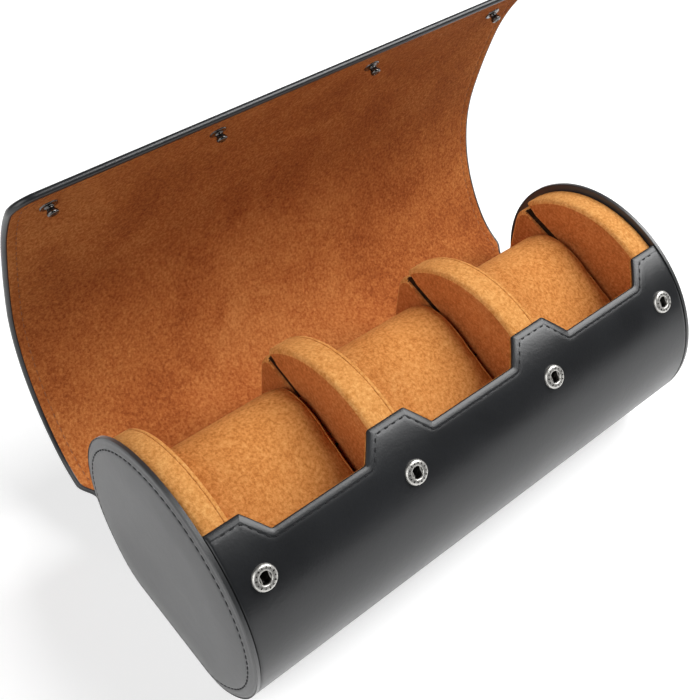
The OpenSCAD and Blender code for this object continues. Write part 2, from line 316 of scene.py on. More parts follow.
@dataclass(frozen=True)
class MetalFinish:
    """Tumbled metal with a dark patina in scattered patches."""

    name: str
    bright: Colour
    patina: Colour
    patina_share: float = 0.35
    gloss_low: float = 0.22
    gloss_high: float = 0.42

    def build(self) -> bpy.types.Material:
        """Makes the material.

        Returns:
            The finished material.
        """
        g = Graph(self.name)
        stain = g.noise(1.4, 4.0, 0.65, 0.6)
        scratch = g.noise(0.35, 3.0, 0.6, 0.0, g.stretched((1.0, 0.18, 0.5)))
        tone = g.weighted(1.0 - self.patina_share, (stain, 1.3), (scratch, 0.35))
        g.link(g.ramp(tone, ((0.05, self.patina), (0.6, self.bright))), g.shader.inputs["Base Color"])
        g.link(g.range(g.weighted(0.5, (stain, -1.0), (scratch, 0.6)), self.gloss_low, self.gloss_high),
               g.shader.inputs["Roughness"])
        g.set(Metallic=1.0)
        g.bump(((stain, 0.02), (scratch, 0.006)))
        return g.material


@dataclass(frozen=True)
class ThreadFinish:
    """Waxed sewing thread with a fine twist."""

    name: str
    dark: Colour
    light: Colour
    gloss: float = 0.5

    def build(self) -> bpy.types.Material:
        """Makes the material.

        Returns:
            The finished material.
        """
        g = Graph(self.name)
        twist = g.noise(0.22, 2.0, 0.5, 0.3)
        g.link(g.ramp(twist, ((0.3, self.dark), (0.75, self.light))), g.shader.inputs["Base Color"])
        g.link(g.range(twist, self.gloss, self.gloss + 0.2), g.shader.inputs["Roughness"])
        g.bump(((twist, 0.05),))
        return g.material


@dataclass(frozen=True)
class BoardFinish:
    """Pressed fibre board, seen only at cut edges."""

    name: str
    dark: Colour = (0.16, 0.11, 0.07)
    light: Colour = (0.34, 0.25, 0.16)

    def build(self) -> bpy.types.Material:
        """Makes the material.

        Returns:
            The finished material.
        """
        g = Graph(self.name)
        fibre = g.noise(0.8, 4.0, 0.7, 0.2, g.stretched((0.2, 1.0, 1.0)))
        g.link(g.ramp(fibre, ((0.25, self.dark), (0.75, self.light))), g.shader.inputs["Base Color"])
        g.set(Roughness=0.9, Specular_IOR_Level=0.2)
        g.bump(((fibre, 0.08),))
        return g.material


class Finish(Enum):
    """Every finish on the case."""

    BODY_LEATHER = LeatherFinish("body_leather")
    # Painted light: the caps' leather is a lighter copy of the body leather, painted lighter for the grey
    # sheen that the end faces catch.
    CAP_LEATHER_PAINTED_LIGHT = LeatherFinish("cap_leather", (0.014, 0.0145, 0.0155), (0.030, 0.0315, 0.034),
                                gloss_low=0.36, gloss_high=0.46, mirror=0.9, bloom=0.35)
    FLAP_LEATHER = LeatherFinish("flap_leather")
    BODY_SUEDE = SuedeFinish("body_suede", (0.38, 0.115, 0.022), (0.54, 0.205, 0.050), (0.68, 0.31, 0.090))
    # Painted shade: the flap's lining is a darker copy of the same suede, painted darker for the shade inside
    # the flap.
    FLAP_SUEDE_PAINTED_SHADE = SuedeFinish("flap_suede", (0.265, 0.064, 0.018), (0.44, 0.135, 0.035), (0.61, 0.243, 0.074),
                             cloud_mm=34.0, cloud=0.95, mottle=0.35)
    CUSHION_SUEDE = SuedeFinish("cushion_suede", (0.46, 0.155, 0.032), (0.66, 0.270, 0.072),
                                (0.80, 0.40, 0.128))
    DIVIDER_SUEDE = SuedeFinish("divider_suede", (0.50, 0.185, 0.040), (0.68, 0.300, 0.084),
                                (0.82, 0.43, 0.145), cloud=0.4)
    # Painted shade: the dividers' side faces get a darker copy of the same suede, painted darker for the
    # shade on them; the cushion boards use it too.
    SIDE_SUEDE_PAINTED_SHADE = SuedeFinish("side_suede_painted_shade", (0.36, 0.105, 0.024), (0.52, 0.165, 0.044), (0.64, 0.25, 0.078),
                             cloud=0.5)
    SNAP_METAL = MetalFinish("snap_metal", (0.62, 0.61, 0.58), (0.26, 0.25, 0.23), 0.32,
                             gloss_low=0.36, gloss_high=0.52)
    MARK_METAL = MetalFinish("mark_metal", (0.05, 0.046, 0.042), (0.015, 0.013, 0.012), 0.5,
                             gloss_low=0.45, gloss_high=0.6)
    EYELET_METAL = MetalFinish("eyelet_metal", (0.07, 0.067, 0.062), (0.02, 0.018, 0.016), 0.5)
    STUD_METAL = MetalFinish("stud_metal", (0.16, 0.155, 0.15), (0.02, 0.018, 0.016), 0.55,
                             gloss_low=0.18, gloss_high=0.34)
    BLACK_THREAD = ThreadFinish("black_thread", (0.003, 0.003, 0.004), (0.012, 0.0125, 0.014), 0.7)
    TAN_THREAD = ThreadFinish("tan_thread", (0.22, 0.07, 0.02), (0.42, 0.15, 0.045), 0.6)
    # Painted shade: a near-black lining put on the slots' walls, where there is only shade.
    SLOT_PAINTED_SHADE = SuedeFinish("slot_painted_shade", (0.020, 0.010, 0.006), (0.045, 0.022, 0.012), (0.08, 0.04, 0.02))
    BOARD = BoardFinish("fibre_board")

    @functools.cache
    def material(self) -> bpy.types.Material:
        """The finish's material, made once."""
        return self.value.build()


# ---------------------------------------------------------------- meshes


def full_turn(steps: int) -> list[float]:
    """Angles of evenly spaced points round a circle, in radians."""
    return [2 * math.pi * k / steps for k in range(steps)]


def quarter_turn(steps: int) -> list[float]:
    """Angles from nought to a right angle, in radians."""
    return [math.pi / 2 * k / steps for k in range(steps + 1)]


@dataclass
class Builder:
    """Collects the points and faces of one piece, in millimetres."""

    points: list[Array] = field(default_factory=list)
    faces: list[tuple[int, ...]] = field(default_factory=list)
    finishes: list[int] = field(default_factory=list)
    count: int = 0

    def add_points(self, points: Array) -> int:
        """Adds points.

        Args:
            points: Any array of points.

        Returns:
            The number of the first.
        """
        start = self.count
        flat = np.asarray(points, float).reshape(-1, 3)
        self.points.append(flat)
        self.count += len(flat)
        return start

    def grid(self, points: Array, flip: bool = False, wrap_rows: bool = False, wrap_columns: bool = False,
             finish: int = 0) -> None:
        """Adds a grid of quads.

        Args:
            points: An array of rows, columns and coordinates.
            flip: Whether the faces point the other way.
            wrap_rows: Whether the last row joins the first.
            wrap_columns: Whether the last column joins the first.
            finish: The number of the piece's finish.
        """
        rows, columns = points.shape[:2]
        start = self.add_points(points)
        for i in range(rows if wrap_rows else rows - 1):
            for j in range(columns if wrap_columns else columns - 1):
                a, b = start + i * columns, start + (i + 1) % rows * columns
                k = (j + 1) % columns
                quad = (a + j, a + k, b + k, b + j)
                self.faces.append(quad[::-1] if flip else quad)
                self.finishes.append(finish)

    def fan(self, ring: Array, centre: Array, flip: bool = False, finish: int = 0) -> None:
        """Closes a ring of points with triangles.

        Args:
            ring: The ring's points.
            centre: The point that the triangles meet in.
            flip: Whether the faces point the other way.
            finish: The number of the piece's finish.
        """
        start = self.add_points(ring)
        middle = self.add_points(centre)
        n = len(ring)
        for j in range(n):
            triangle = (start + j, start + (j + 1) % n, middle)
            self.faces.append(triangle[::-1] if flip else triangle)
            self.finishes.append(finish)

    def polygon(self, ring: Array, flip: bool = False, finish: int = 0) -> None:
        """Adds one flat face with many corners.

        Args:
            ring: Its corners.
            flip: Whether it points the other way.
            finish: The number of the piece's finish.
        """
        start = self.add_points(ring)
        face = tuple(range(start, start + len(ring)))
        self.faces.append(face[::-1] if flip else face)
        self.finishes.append(finish)

    def tube(self, rings: Sequence, finish: int = 0) -> None:
        """Adds a tube with closed ends.

        Args:
            rings: Rings of points along it.
            finish: The number of the piece's finish.
        """
        rings = np.array(rings)
        self.grid(rings, wrap_columns=True, finish=finish)
        self.fan(rings[0], rings[0].mean(0), finish=finish)
        self.fan(rings[-1], rings[-1].mean(0), flip=True, finish=finish)

    def bar(self, x: float, loop: Array, profile: Sequence[Pair]) -> None:
        """Adds a bar along the case, with the same edge at both ends.

        Args:
            x: Its middle.
            loop: Its section's outline.
            profile: One end's edge, from the flat end inwards: inset and distance from the middle.
        """
        rings = [across(x - end, inset_loop(loop, inset)) for inset, end in profile]
        rings += [across(x + end, inset_loop(loop, inset)) for inset, end in reversed(profile)]
        self.grid(np.stack(rings), wrap_columns=True)
        self.polygon(rings[0], flip=True)
        self.polygon(rings[-1])

    def build(self, name: str, *finishes: Finish, weld_mm: float = 0.002, sharp_deg: float = 50.0,
              recalculate: bool = True) -> Piece:
        """Makes the object.

        Args:
            name: The piece's name.
            *finishes: The piece's finishes, in the order that its faces number them.
            weld_mm: Points nearer than this become one.
            sharp_deg: Edges that turn more than this stay sharp.
            recalculate: Whether faces are turned to point outwards.

        Returns:
            The new object, in the scene.
        """
        mesh = bpy.data.meshes.new(name)
        mesh.from_pydata((np.concatenate(self.points) * MM).tolist(), [], self.faces)
        for finish in finishes:
            mesh.materials.append(finish.material())
        mesh.polygons.foreach_set("material_index", self.finishes)
        work = bmesh.new()
        work.from_mesh(mesh)
        bmesh.ops.remove_doubles(work, verts=work.verts, dist=weld_mm * MM)
        bmesh.ops.dissolve_degenerate(work, edges=work.edges, dist=weld_mm * MM * 0.5)
        if recalculate:
            bmesh.ops.recalc_face_normals(work, faces=work.faces)
        work.to_mesh(mesh)
        work.free()
        smooth(mesh, sharp_deg)
        piece = bpy.data.objects.new(name, mesh)
        bpy.context.scene.collection.objects.link(piece)
        return piece


def smooth(mesh: bpy.types.Mesh, sharp_deg: float) -> None:
    """Shades a mesh smoothly.

    Args:
        mesh: The mesh.
        sharp_deg: Edges that turn more than this stay sharp.
    """
    mesh.polygons.foreach_set("use_smooth", [True] * len(mesh.polygons))
    mesh.set_sharp_from_angle(angle=math.radians(sharp_deg))
    mesh.update()


def settle(piece: Piece, body: str, slot: str, *nodes: str) -> Piece:
    """Joins a finished piece to its body and hides the CAD nodes that it stands for.

    Args:
        piece: The finished piece.
        body: The body that it rides on.
        slot: The record's material slot; not used.
        *nodes: The CAD nodes that it replaces.

    Returns:
        The piece.
    """
    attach(piece, body)
    if nodes:
        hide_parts(*nodes)
    LOG.info("%s rides on %s", piece.name, body)
    return piece


def roll(distance: Array | float, thickness: float) -> Array:
    """Depth of a rolled edge's surface.

    Args:
        distance: Distance from the edge.
        thickness: The sheet's thickness.

    Returns:
        The depth below the sheet's face.
    """
    half = thickness / 2
    inside = np.clip(half - np.asarray(distance, float), 0.0, half)
    return half - np.sqrt(half * half - inside * inside)


def groove(distance: Array | float, place: float, width: float, depth: float) -> Array:
    """Depth of a sewn groove at a distance from the edge."""
    return depth * np.exp(-(((np.asarray(distance, float) - place) / width) ** 2))


def stations(*stretches: tuple[float, float, int]) -> list[float]:
    """Places along a line.

    Args:
        *stretches: Each is a start, an end and a number of steps.

    Returns:
        The places, both ends among them.
    """
    places: list[float] = []
    for start, end, steps in stretches:
        places.extend(start + (end - start) * i / steps for i in range(steps))
    places.append(stretches[-1][1])
    return places


def arc(centre: Pair, radius: float, first_deg: float, last_deg: float, steps: int) -> list[Pair]:
    """Points on an arc.

    Args:
        centre: The arc's centre.
        radius: Its radius.
        first_deg: The angle of its first point.
        last_deg: The angle of its last point.
        steps: Number of steps between them.

    Returns:
        The points, both ends among them.
    """
    angles = [math.radians(first_deg + (last_deg - first_deg) * i / steps) for i in range(steps + 1)]
    return [(centre[0] + radius * math.cos(a), centre[1] + radius * math.sin(a)) for a in angles]


def rounded(face: float, radius: float, outward: int, steps: int, start: float = 0.0) -> list[Pair]:
    """The profile of a rounded edge, from its flat face to its rim.

    Args:
        face: Place of the flat face along the case.
        radius: The edge's radius.
        outward: 1 where the face looks to +X, and -1 where it looks to -X.
        steps: Number of steps round it.
        start: Inset of the rim.

    Returns:
        Insets from the outline, with places along the case.
    """
    return [(start + radius * (1 - math.sin(a)), face - outward * radius * (1 - math.cos(a)))
            for a in quarter_turn(steps)]


def across(x: Array | float, outline: Array) -> Array:
    """Stands points up at a place along the case.

    Args:
        x: The place, or one for each point.
        outline: Points (y, z).

    Returns:
        Points (x, y, z).
    """
    outline = np.asarray(outline, float)
    places = np.broadcast_to(np.asarray(x, float), outline.shape[:-1])
    return np.concatenate([places[..., None], outline], axis=-1)


def resample(loop: Array, step: float, closed: bool) -> Array:
    """Evenly spaced points along a line.

    Args:
        loop: The line's points.
        step: The wanted distance between points.
        closed: Whether the line ends where it starts.

    Returns:
        The new points; a closed line's first point isn't repeated.
    """
    line = np.vstack([loop, loop[:1]]) if closed else np.asarray(loop, float)
    lengths = np.concatenate([[0.0], np.cumsum(np.linalg.norm(np.diff(line, axis=0), axis=1))])
    count = max(3, int(round(lengths[-1] / step)))
    if closed:
        places = np.linspace(0.0, lengths[-1], count, endpoint=False)
    else:
        places = np.linspace(0.0, lengths[-1], count + 1)
    return np.stack([np.interp(places, lengths, line[:, k]) for k in range(line.shape[1])], axis=1)


def inset_loop(loop: Array, distance: float) -> Array:
    """A closed anticlockwise outline, moved inwards by a distance.

    Args:
        loop: The outline's points.
        distance: How far they move.

    Returns:
        As many points; where a sharp corner would make the new outline cross itself, they bridge the corner.
    """
    before, after = np.roll(loop, 1, axis=0), np.roll(loop, -1, axis=0)
    tangent = after - before
    tangent /= np.linalg.norm(tangent, axis=1)[:, None] + NEAR
    inward = np.stack([-tangent[:, 1], tangent[:, 0]], axis=1)
    moved = loop + inward * distance
    gaps = np.linalg.norm(moved[:, None] - loop[None], axis=2).min(axis=1)
    least_gap = distance * 0.97 - 1e-6
    kept = np.flatnonzero(gaps > least_gap)
    places = np.arange(len(loop))
    return np.stack([np.interp(places, kept, moved[kept, k], period=len(loop)) for k in (0, 1)], axis=1)


@dataclass(frozen=True)
class Seam:
    """A row of stitches, each a short rounded bar that lies in its groove."""

    pitch: float = 3.0
    share: float = 0.8
    radius: float = 0.26
    sink: float = 0.06
    sections: tuple[Triple, ...] = ((0.0, 0.35, -0.9), (0.12, 0.85, -0.25), (0.3, 1.0, 0.1), (0.5, 1.0, 0.18),
                                    (0.7, 1.0, 0.1), (0.88, 0.85, -0.25), (1.0, 0.35, -0.9))

    def sew(self, builder: Builder, line: Array, normals: Array, closed: bool = False,
            finish: int = 0) -> None:
        """Adds stitches along a line.

        Args:
            builder: The piece that they are added to.
            line: Points along the seam.
            normals: The surface's outward direction at each point.
            closed: Whether the seam ends where it starts.
            finish: The number of the thread's finish.
        """
        if closed:
            line, normals = np.vstack([line, line[:1]]), np.vstack([normals, normals[:1]])
        run = np.concatenate([[0.0], np.cumsum(np.linalg.norm(np.diff(line, axis=0), axis=1))])
        count = max(1, int(round(run[-1] / self.pitch)))
        pitch = run[-1] / count

        def at(place: float, values: Array) -> Array:
            """The value at a distance along the seam."""
            return np.array([np.interp(place, run, values[:, k]) for k in range(3)])

        for i in range(count):
            start = at((i + 0.5 - self.share / 2) * pitch, line)
            end = at((i + 0.5 + self.share / 2) * pitch, line)
            up = at((i + 0.5) * pitch, normals)
            up /= np.linalg.norm(up)
            self._bar(builder, start - up * self.sink, end - up * self.sink, up, finish)

    def _bar(self, builder: Builder, start: Array, end: Array, up: Array, finish: int) -> None:
        """Adds one stitch.

        Args:
            builder: The piece that it is added to.
            start: Its first end.
            end: Its other end.
            up: The surface's outward direction.
            finish: The number of the thread's finish.
        """
        forward = end - start
        length = np.linalg.norm(forward)
        forward /= length
        side = np.cross(forward, up)
        side /= np.linalg.norm(side)
        up = np.cross(side, forward)
        rings = []
        for place, size, lift in self.sections:
            centre = start + forward * length * place + up * self.radius * lift
            rings.append([
                centre + (side * math.cos(a) + up * 0.8 * math.sin(a)) * self.radius * size
                for a in full_turn(7)
            ])
        builder.tube(rings, finish)


# ---------------------------------------------------------------- the body


@dataclass(frozen=True)
class Section:
    """The body's section: a round with a flat foot, measured along its outside."""

    radius: float = 47.0
    axis_z: float = 40.0
    foot_radius: float = 18.0

    @property
    def drop(self) -> float:
        """Angle below the horizontal where the round meets a foot corner, in degrees."""
        return math.degrees(math.asin((self.axis_z - self.foot_radius) / (self.radius - self.foot_radius)))

    @property
    def foot_y(self) -> float:
        """Distance of a foot corner's centre from the middle."""
        return (self.radius - self.foot_radius) * math.cos(math.radians(self.drop))

    def length_to(self, rear_angle: float) -> float:
        """Distance along the outside, from the front horizontal.

        Args:
            rear_angle: Where it ends, in degrees below the rear horizontal.

        Returns:
            The distance.
        """
        corner = self.foot_radius * math.radians(90 - self.drop)
        round_part = self.radius * math.radians(self.drop)
        return round_part + 2 * corner + 2 * self.foot_y + self.radius * math.radians(self.drop - rear_angle)

    def place(self, run: Array, depth: Array) -> Array:
        """Points (y, z) at distances along the outside and depths below it.

        Args:
            run: Distance from the front horizontal, positive downwards and on to the rear.
            depth: Depth below the outside.

        Returns:
            An array of points.
        """
        run, depth = np.broadcast_arrays(np.asarray(run, float), np.asarray(depth, float))
        drop, foot_y = math.radians(self.drop), self.foot_y
        first = self.radius * drop
        corner = self.foot_radius * (math.pi / 2 - drop)
        second, third = first + corner, first + corner + 2 * foot_y
        fourth = third + corner
        y, z = np.zeros(run.shape), np.zeros(run.shape)
        for mask, centre_y, centre_z, r, angle in (
            (run <= first, 0.0, self.axis_z, self.radius, math.pi + run / self.radius),
            ((run > first) & (run <= second), -foot_y, self.foot_radius, self.foot_radius,
             math.pi + drop + (run - first) / self.foot_radius),
            ((run > third) & (run <= fourth), foot_y, self.foot_radius, self.foot_radius,
             1.5 * math.pi + (run - third) / self.foot_radius),
            (run > fourth, 0.0, self.axis_z, self.radius, 2 * math.pi - drop + (run - fourth) / self.radius),
        ):
            y = np.where(mask, centre_y + (r - depth) * np.cos(angle), y)
            z = np.where(mask, centre_z + (r - depth) * np.sin(angle), z)
        flat = (run > second) & (run <= third)
        y = np.where(flat, -foot_y + run - second, y)
        z = np.where(flat, depth, z)
        return np.stack([y, z], axis=-1)

    def outline(self, inset: float, steps: int = 180) -> Array:
        """The whole closed section, anticlockwise seen with +Y to the right and +Z up.

        Args:
            inset: How much smaller it is drawn.
            steps: Number of steps round the upper part.

        Returns:
            Points (y, z).
        """
        drop = self.drop
        corner = self.foot_radius - inset
        points = arc((0, self.axis_z), self.radius - inset, -drop, 180 + drop, steps)
        points += arc((-self.foot_y, self.foot_radius), corner, 180 + drop, 270, 16)[1:]
        points += [(-self.foot_y + 2 * self.foot_y * i / 16, inset) for i in range(1, 16)]
        points += arc((self.foot_y, self.foot_radius), corner, 270, 360 - drop, 16)[:-1]
        return np.array(points)


SECTION = Section()


@dataclass
class BodyPanel:
    """The wrapped wall: leather outside with a scalloped, stitched edge, and suede inside."""

    half: float = 99.25
    tab_angle: float = 66.2
    valley_angle: float = 55.3
    tabs: tuple[Pair, ...] = ((86.8, 99.25), (24.3, 39.1))
    valleys: tuple[Pair, ...] = ((45.4, 80.5), (0.0, 18.0))
    corner: float = 1.1
    wrap_t: float = 2.1
    leather_t: float = 1.1
    lining_t: float = 0.5
    rear_angle: float = 31.5
    seam_in: float = 2.7
    skive: float = 0.42
    skive_gap: float = 0.4
    groove_width: float = 0.6
    groove_depth: float = 0.09
    rim_rounding: float = 0.6
    turned_in: float = 1.6
    lining_inset: float = 0.12
    glue: float = 0.02
    edge_step: float = 1.3
    side_steps: tuple[float, ...] = (0.0, 0.04, 0.14, 0.32, 0.6, 1.0, 1.6, 2.6, 4.2)
    side_end: float = 5.4
    leather_rings: tuple[float, ...] = (0.0, 0.03, 0.12, 0.3, 0.55, 0.9, 1.3, 1.75, 2.1, 2.3, 2.5, 2.7, 2.9,
                                        3.15, 3.5, 4.1, 5.0, 6.2)
    lining_rings: tuple[float, ...] = (0.12, 0.14, 0.2, 0.3, 0.45, 0.8, 1.6, 3.0, 4.6, 6.2)

    def edge_corners(self) -> list[Pair]:
        """Corners of the scalloped edge, from left to right.

        Returns:
            Places along the case with runs round it.
        """
        tab = -SECTION.radius * math.radians(self.tab_angle)
        valley = -SECTION.radius * math.radians(self.valley_angle)
        right = [(self.valleys[1][1], valley), (self.tabs[1][0], tab), (self.tabs[1][1], tab),
                 (self.valleys[0][0], valley), (self.valleys[0][1], valley), (self.tabs[0][0], tab)]
        left = [(-x, s) for x, s in reversed(right)]
        return [(-self.half, tab), *left, *right, (self.half, tab)]

    def ring(self, inset: float) -> Array:
        """The scalloped edge moved into the leather by an inset, with rounded corners.

        Args:
            inset: Distance from the edge.

        Returns:
            Points (place along the case, run round it), the same number for every inset.
        """
        corners = np.array(self.edge_corners())
        directions = np.diff(corners, axis=0)
        directions /= np.linalg.norm(directions, axis=1)[:, None]
        inward = np.stack([-directions[:, 1], directions[:, 0]], axis=1)
        moved = [corners[0] + (0, inset)]
        for k in range(1, len(corners) - 1):
            bisector = inward[k - 1] + inward[k]
            bisector /= np.linalg.norm(bisector)
            moved.append(corners[k] + bisector * inset / (bisector @ inward[k]))
        moved.append(corners[-1] + (0, inset))
        points: list[Array] = []
        previous = moved[0]
        for k in range(1, len(corners)):
            inner = k < len(corners) - 1
            if inner:
                turn = directions[k - 1][0] * directions[k][1] - directions[k - 1][1] * directions[k][0]
                radius = max(self.corner - inset, 0.12) if turn > 0 else self.corner + inset * 0.8
                angle = math.acos(np.clip(directions[k - 1] @ directions[k], -1, 1))
                reach = radius * math.tan(angle / 2)
                leave = moved[k] - directions[k - 1] * reach
            else:
                leave = moved[k]
            base_length = np.linalg.norm(corners[k] - corners[k - 1])
            shares = self._shares(base_length, k == 1, k == len(corners) - 1)
            points.extend(previous + (leave - previous) * t for t in shares)
            if inner:
                arrive = moved[k] + directions[k] * reach
                for i in range(1, 6):
                    t = i / 6
                    points.append((1 - t) ** 2 * leave + 2 * t * (1 - t) * moved[k] + t * t * arrive)
                previous = arrive
        return np.array(points)

    def _shares(self, length: float, first: bool, last: bool) -> list[float]:
        """Places of the samples along one straight stretch of the edge.

        Args:
            length: The stretch's length.
            first: Whether it starts at the panel's left side.
            last: Whether it ends at the panel's right side.

        Returns:
            The places, as shares of the stretch.
        """
        if first or last:
            shares = [x / length for x in (*self.side_steps, *stations((self.side_end, length, 6)))]
            return shares if first else [1 - share for share in reversed(shares)]
        steps = max(4, int(length / self.edge_step))
        return [i / steps for i in range(steps + 1)]

    def relief(self, inset: Array) -> Array:
        """Depth of the padded edge and its sewn groove.

        Args:
            inset: Distance from the scalloped edge.

        Returns:
            The depth below the outside.
        """
        inset = np.asarray(inset, float)
        slope = self.skive * np.clip(1 - inset / (self.seam_in - self.skive_gap), 0, 1)
        return groove(inset, self.seam_in, self.groove_width, self.groove_depth) + slope

    def surface(self, rings: Sequence[float], rear_run: float, rows: int) -> tuple[Array, Array, Array]:
        """The panel's grid: the rings along the edge, and then rows round the body.

        Args:
            rings: Distances of the rings from the edge.
            rear_run: Where the panel ends at the rear.
            rows: Number of rows after the rings.

        Returns:
            Places along the case, runs round the body and distances from the scalloped edge.
        """
        edge = np.stack([self.ring(d) for d in rings])
        last = edge[-1]
        steps = np.linspace(0.0, 1.0, rows + 1)[1:, None]
        body_x = np.broadcast_to(last[None, :, 0], (rows, last.shape[0]))
        body_s = last[None, :, 1] * (1 - steps) + rear_run * steps
        distance = np.concatenate([
            np.broadcast_to(np.array(rings)[:, None], edge.shape[:2]),
            rings[-1] + (body_s - last[None, :, 1]),
        ])
        return (np.concatenate([edge[..., 0], body_x]), np.concatenate([edge[..., 1], body_s]), distance)

    def leather(self, pierce: Callable[[Piece], None]) -> Piece:
        """Makes the leather with its turned edges and stitches.

        Args:
            pierce: Cuts the holes that it needs.

        Returns:
            The finished piece.
        """
        x, s, d = self.surface(self.leather_rings, SECTION.length_to(self.rear_angle), 74)
        side = self.half - np.abs(x)
        edge_roll = np.maximum(roll(d, self.wrap_t), roll(side, self.wrap_t))
        near_edge = np.clip(np.minimum(d, side) / self.rim_rounding, 0, 1)
        outer_depth = edge_roll + self.relief(d) * near_edge
        turned = np.clip(np.minimum(d, side) - self.turned_in, 0, 1)
        inner_depth = self.wrap_t - edge_roll - turned * (self.wrap_t - self.leather_t)
        builder = Builder()
        outer = across(x, SECTION.place(s, outer_depth))
        inner = across(x, SECTION.place(s, inner_depth))
        builder.grid(outer)
        builder.grid(inner, flip=True)
        builder.grid(np.stack([outer[-1], inner[-1]]))
        row = self.leather_rings.index(self.seam_in)
        line, above = (across(x[row], SECTION.place(s[row], depth)) for depth in (0.12, -0.8))
        keep = side[row] > 3.0
        Seam(radius=0.32, share=0.66).sew(builder, line[keep], (above - line)[keep], finish=1)
        piece = builder.build("body_leather_wrap", Finish.BODY_LEATHER, Finish.BLACK_THREAD)
        pierce(piece)
        return settle(piece, "base", "body_leather", "base_leather", "base_board")

    def lining(self) -> Piece:
        """Makes the suede sheet inside the wall.

        Returns:
            The finished piece.
        """
        x, s, d = self.surface(self.lining_rings, SECTION.length_to(self.rear_angle), 60)
        edge_roll = np.maximum(roll(d - self.lining_inset, self.lining_t),
                               roll(self.half - np.abs(x), self.lining_t))
        builder = Builder()
        outside = across(x, SECTION.place(s, self.wrap_t + edge_roll - self.glue))
        inside = across(x, SECTION.place(s, self.wrap_t + self.lining_t - edge_roll))
        builder.grid(outside)
        builder.grid(inside, flip=True)
        for edge in (0, -1):
            builder.grid(np.stack([outside[edge], inside[edge]]))
            builder.grid(np.stack([outside[:, edge], inside[:, edge]]))
        piece = builder.build("body_suede_lining", Finish.BODY_SUEDE)
        return settle(piece, "base", "body_suede", "base_lining")

    def make(self, pierce: Callable[[Piece], None]) -> None:
        """Makes the wall's pieces."""
        self.leather(pierce)
        self.lining()


@dataclass
class EndCap:
    """A round end cap: leather over board, with a rolled rim and a stitched groove."""

    side: int
    name: str
    outside: float = 102.5
    depth: float = 3.0
    seam_in: float = 4.0
    pillow: float = 1.9
    shoulder: float = 18.0
    rim_r: float = 1.25
    back: tuple[Pair, ...] = ((3.0, 0.0), (0.9, 0.02), (0.35, 0.16), (0.08, 0.5), (0.0, 1.0))
    face: tuple[float, ...] = (1.9, 2.6, 3.1, 3.4, 3.65, 3.85, 4.0, 4.15, 4.35, 4.6, 4.9, 5.5, 6.5, 8.0, 10.0,
                               12.0, 14.0, 16.0, 18.0)

    def make(self) -> Piece:
        """Makes the cap.

        Returns:
            The finished piece.
        """
        profile = self._profile()
        rings = np.stack([
            across(self.side * x, SECTION.outline(inset)) for inset, x in profile
        ])
        builder = Builder()
        builder.grid(rings, wrap_columns=True)
        for ring, count in ((rings[0], 3), (rings[-1], 6)):
            centre = np.array([ring[0, 0], 0.0, SECTION.axis_z])
            share = np.linspace(0, 1, count + 1)[:-1, None, None]
            inner = ring[None] * (1 - share) + centre * share
            builder.grid(inner, wrap_columns=True)
            builder.fan(inner[-1], centre)
        seam = SECTION.outline(self.seam_in)
        seam_x = self.side * (self.outside - self._relief(self.seam_in) + 0.12)
        line = across(seam_x, resample(seam, 1.0, True))
        normals = np.tile([float(self.side), 0.0, 0.0], (len(line), 1))
        Seam().sew(builder, line, normals, closed=True, finish=1)
        # The cap takes the lighter, painted-light copy of the leather.
        piece = builder.build(f"{self.name}_cap_wrap", Finish.CAP_LEATHER_PAINTED_LIGHT, Finish.BLACK_THREAD)
        return settle(piece, "base", "cap_leather", f"{self.name}_cap_leather", f"{self.name}_cap_board")

    def _profile(self) -> list[Pair]:
        """The rim's profile, from the back over the rim to the face.

        Returns:
            Insets from the outline, with places along the case.
        """
        r, outer = self.rim_r, self.outside
        points = [(inset, outer - self.depth + x) for inset, x in self.back]
        rim = [(0.0, outer - r)]
        rim += [(r - r * math.cos(a), outer - r + r * math.sin(a)) for a in quarter_turn(6)[1:]]
        points += [(inset, x - self._relief(inset)) for inset, x in rim]
        return points + [(inset, outer - self._relief(inset)) for inset in self.face]

    def _relief(self, distance: float) -> float:
        """Depth of the padded face, the groove and the beaded rim.

        Args:
            distance: Distance from the cap's edge.

        Returns:
            The depth below the cap's crown.
        """
        shoulder = self.pillow * (1 - min(distance / self.shoulder, 1.0)) ** 2
        bead = 0.16 * math.exp(-(((distance - 2.0) / 0.45) ** 2))
        return shoulder + bead + float(groove(distance, self.seam_in, 0.5, 0.26))


# ---------------------------------------------------------------- the dividers


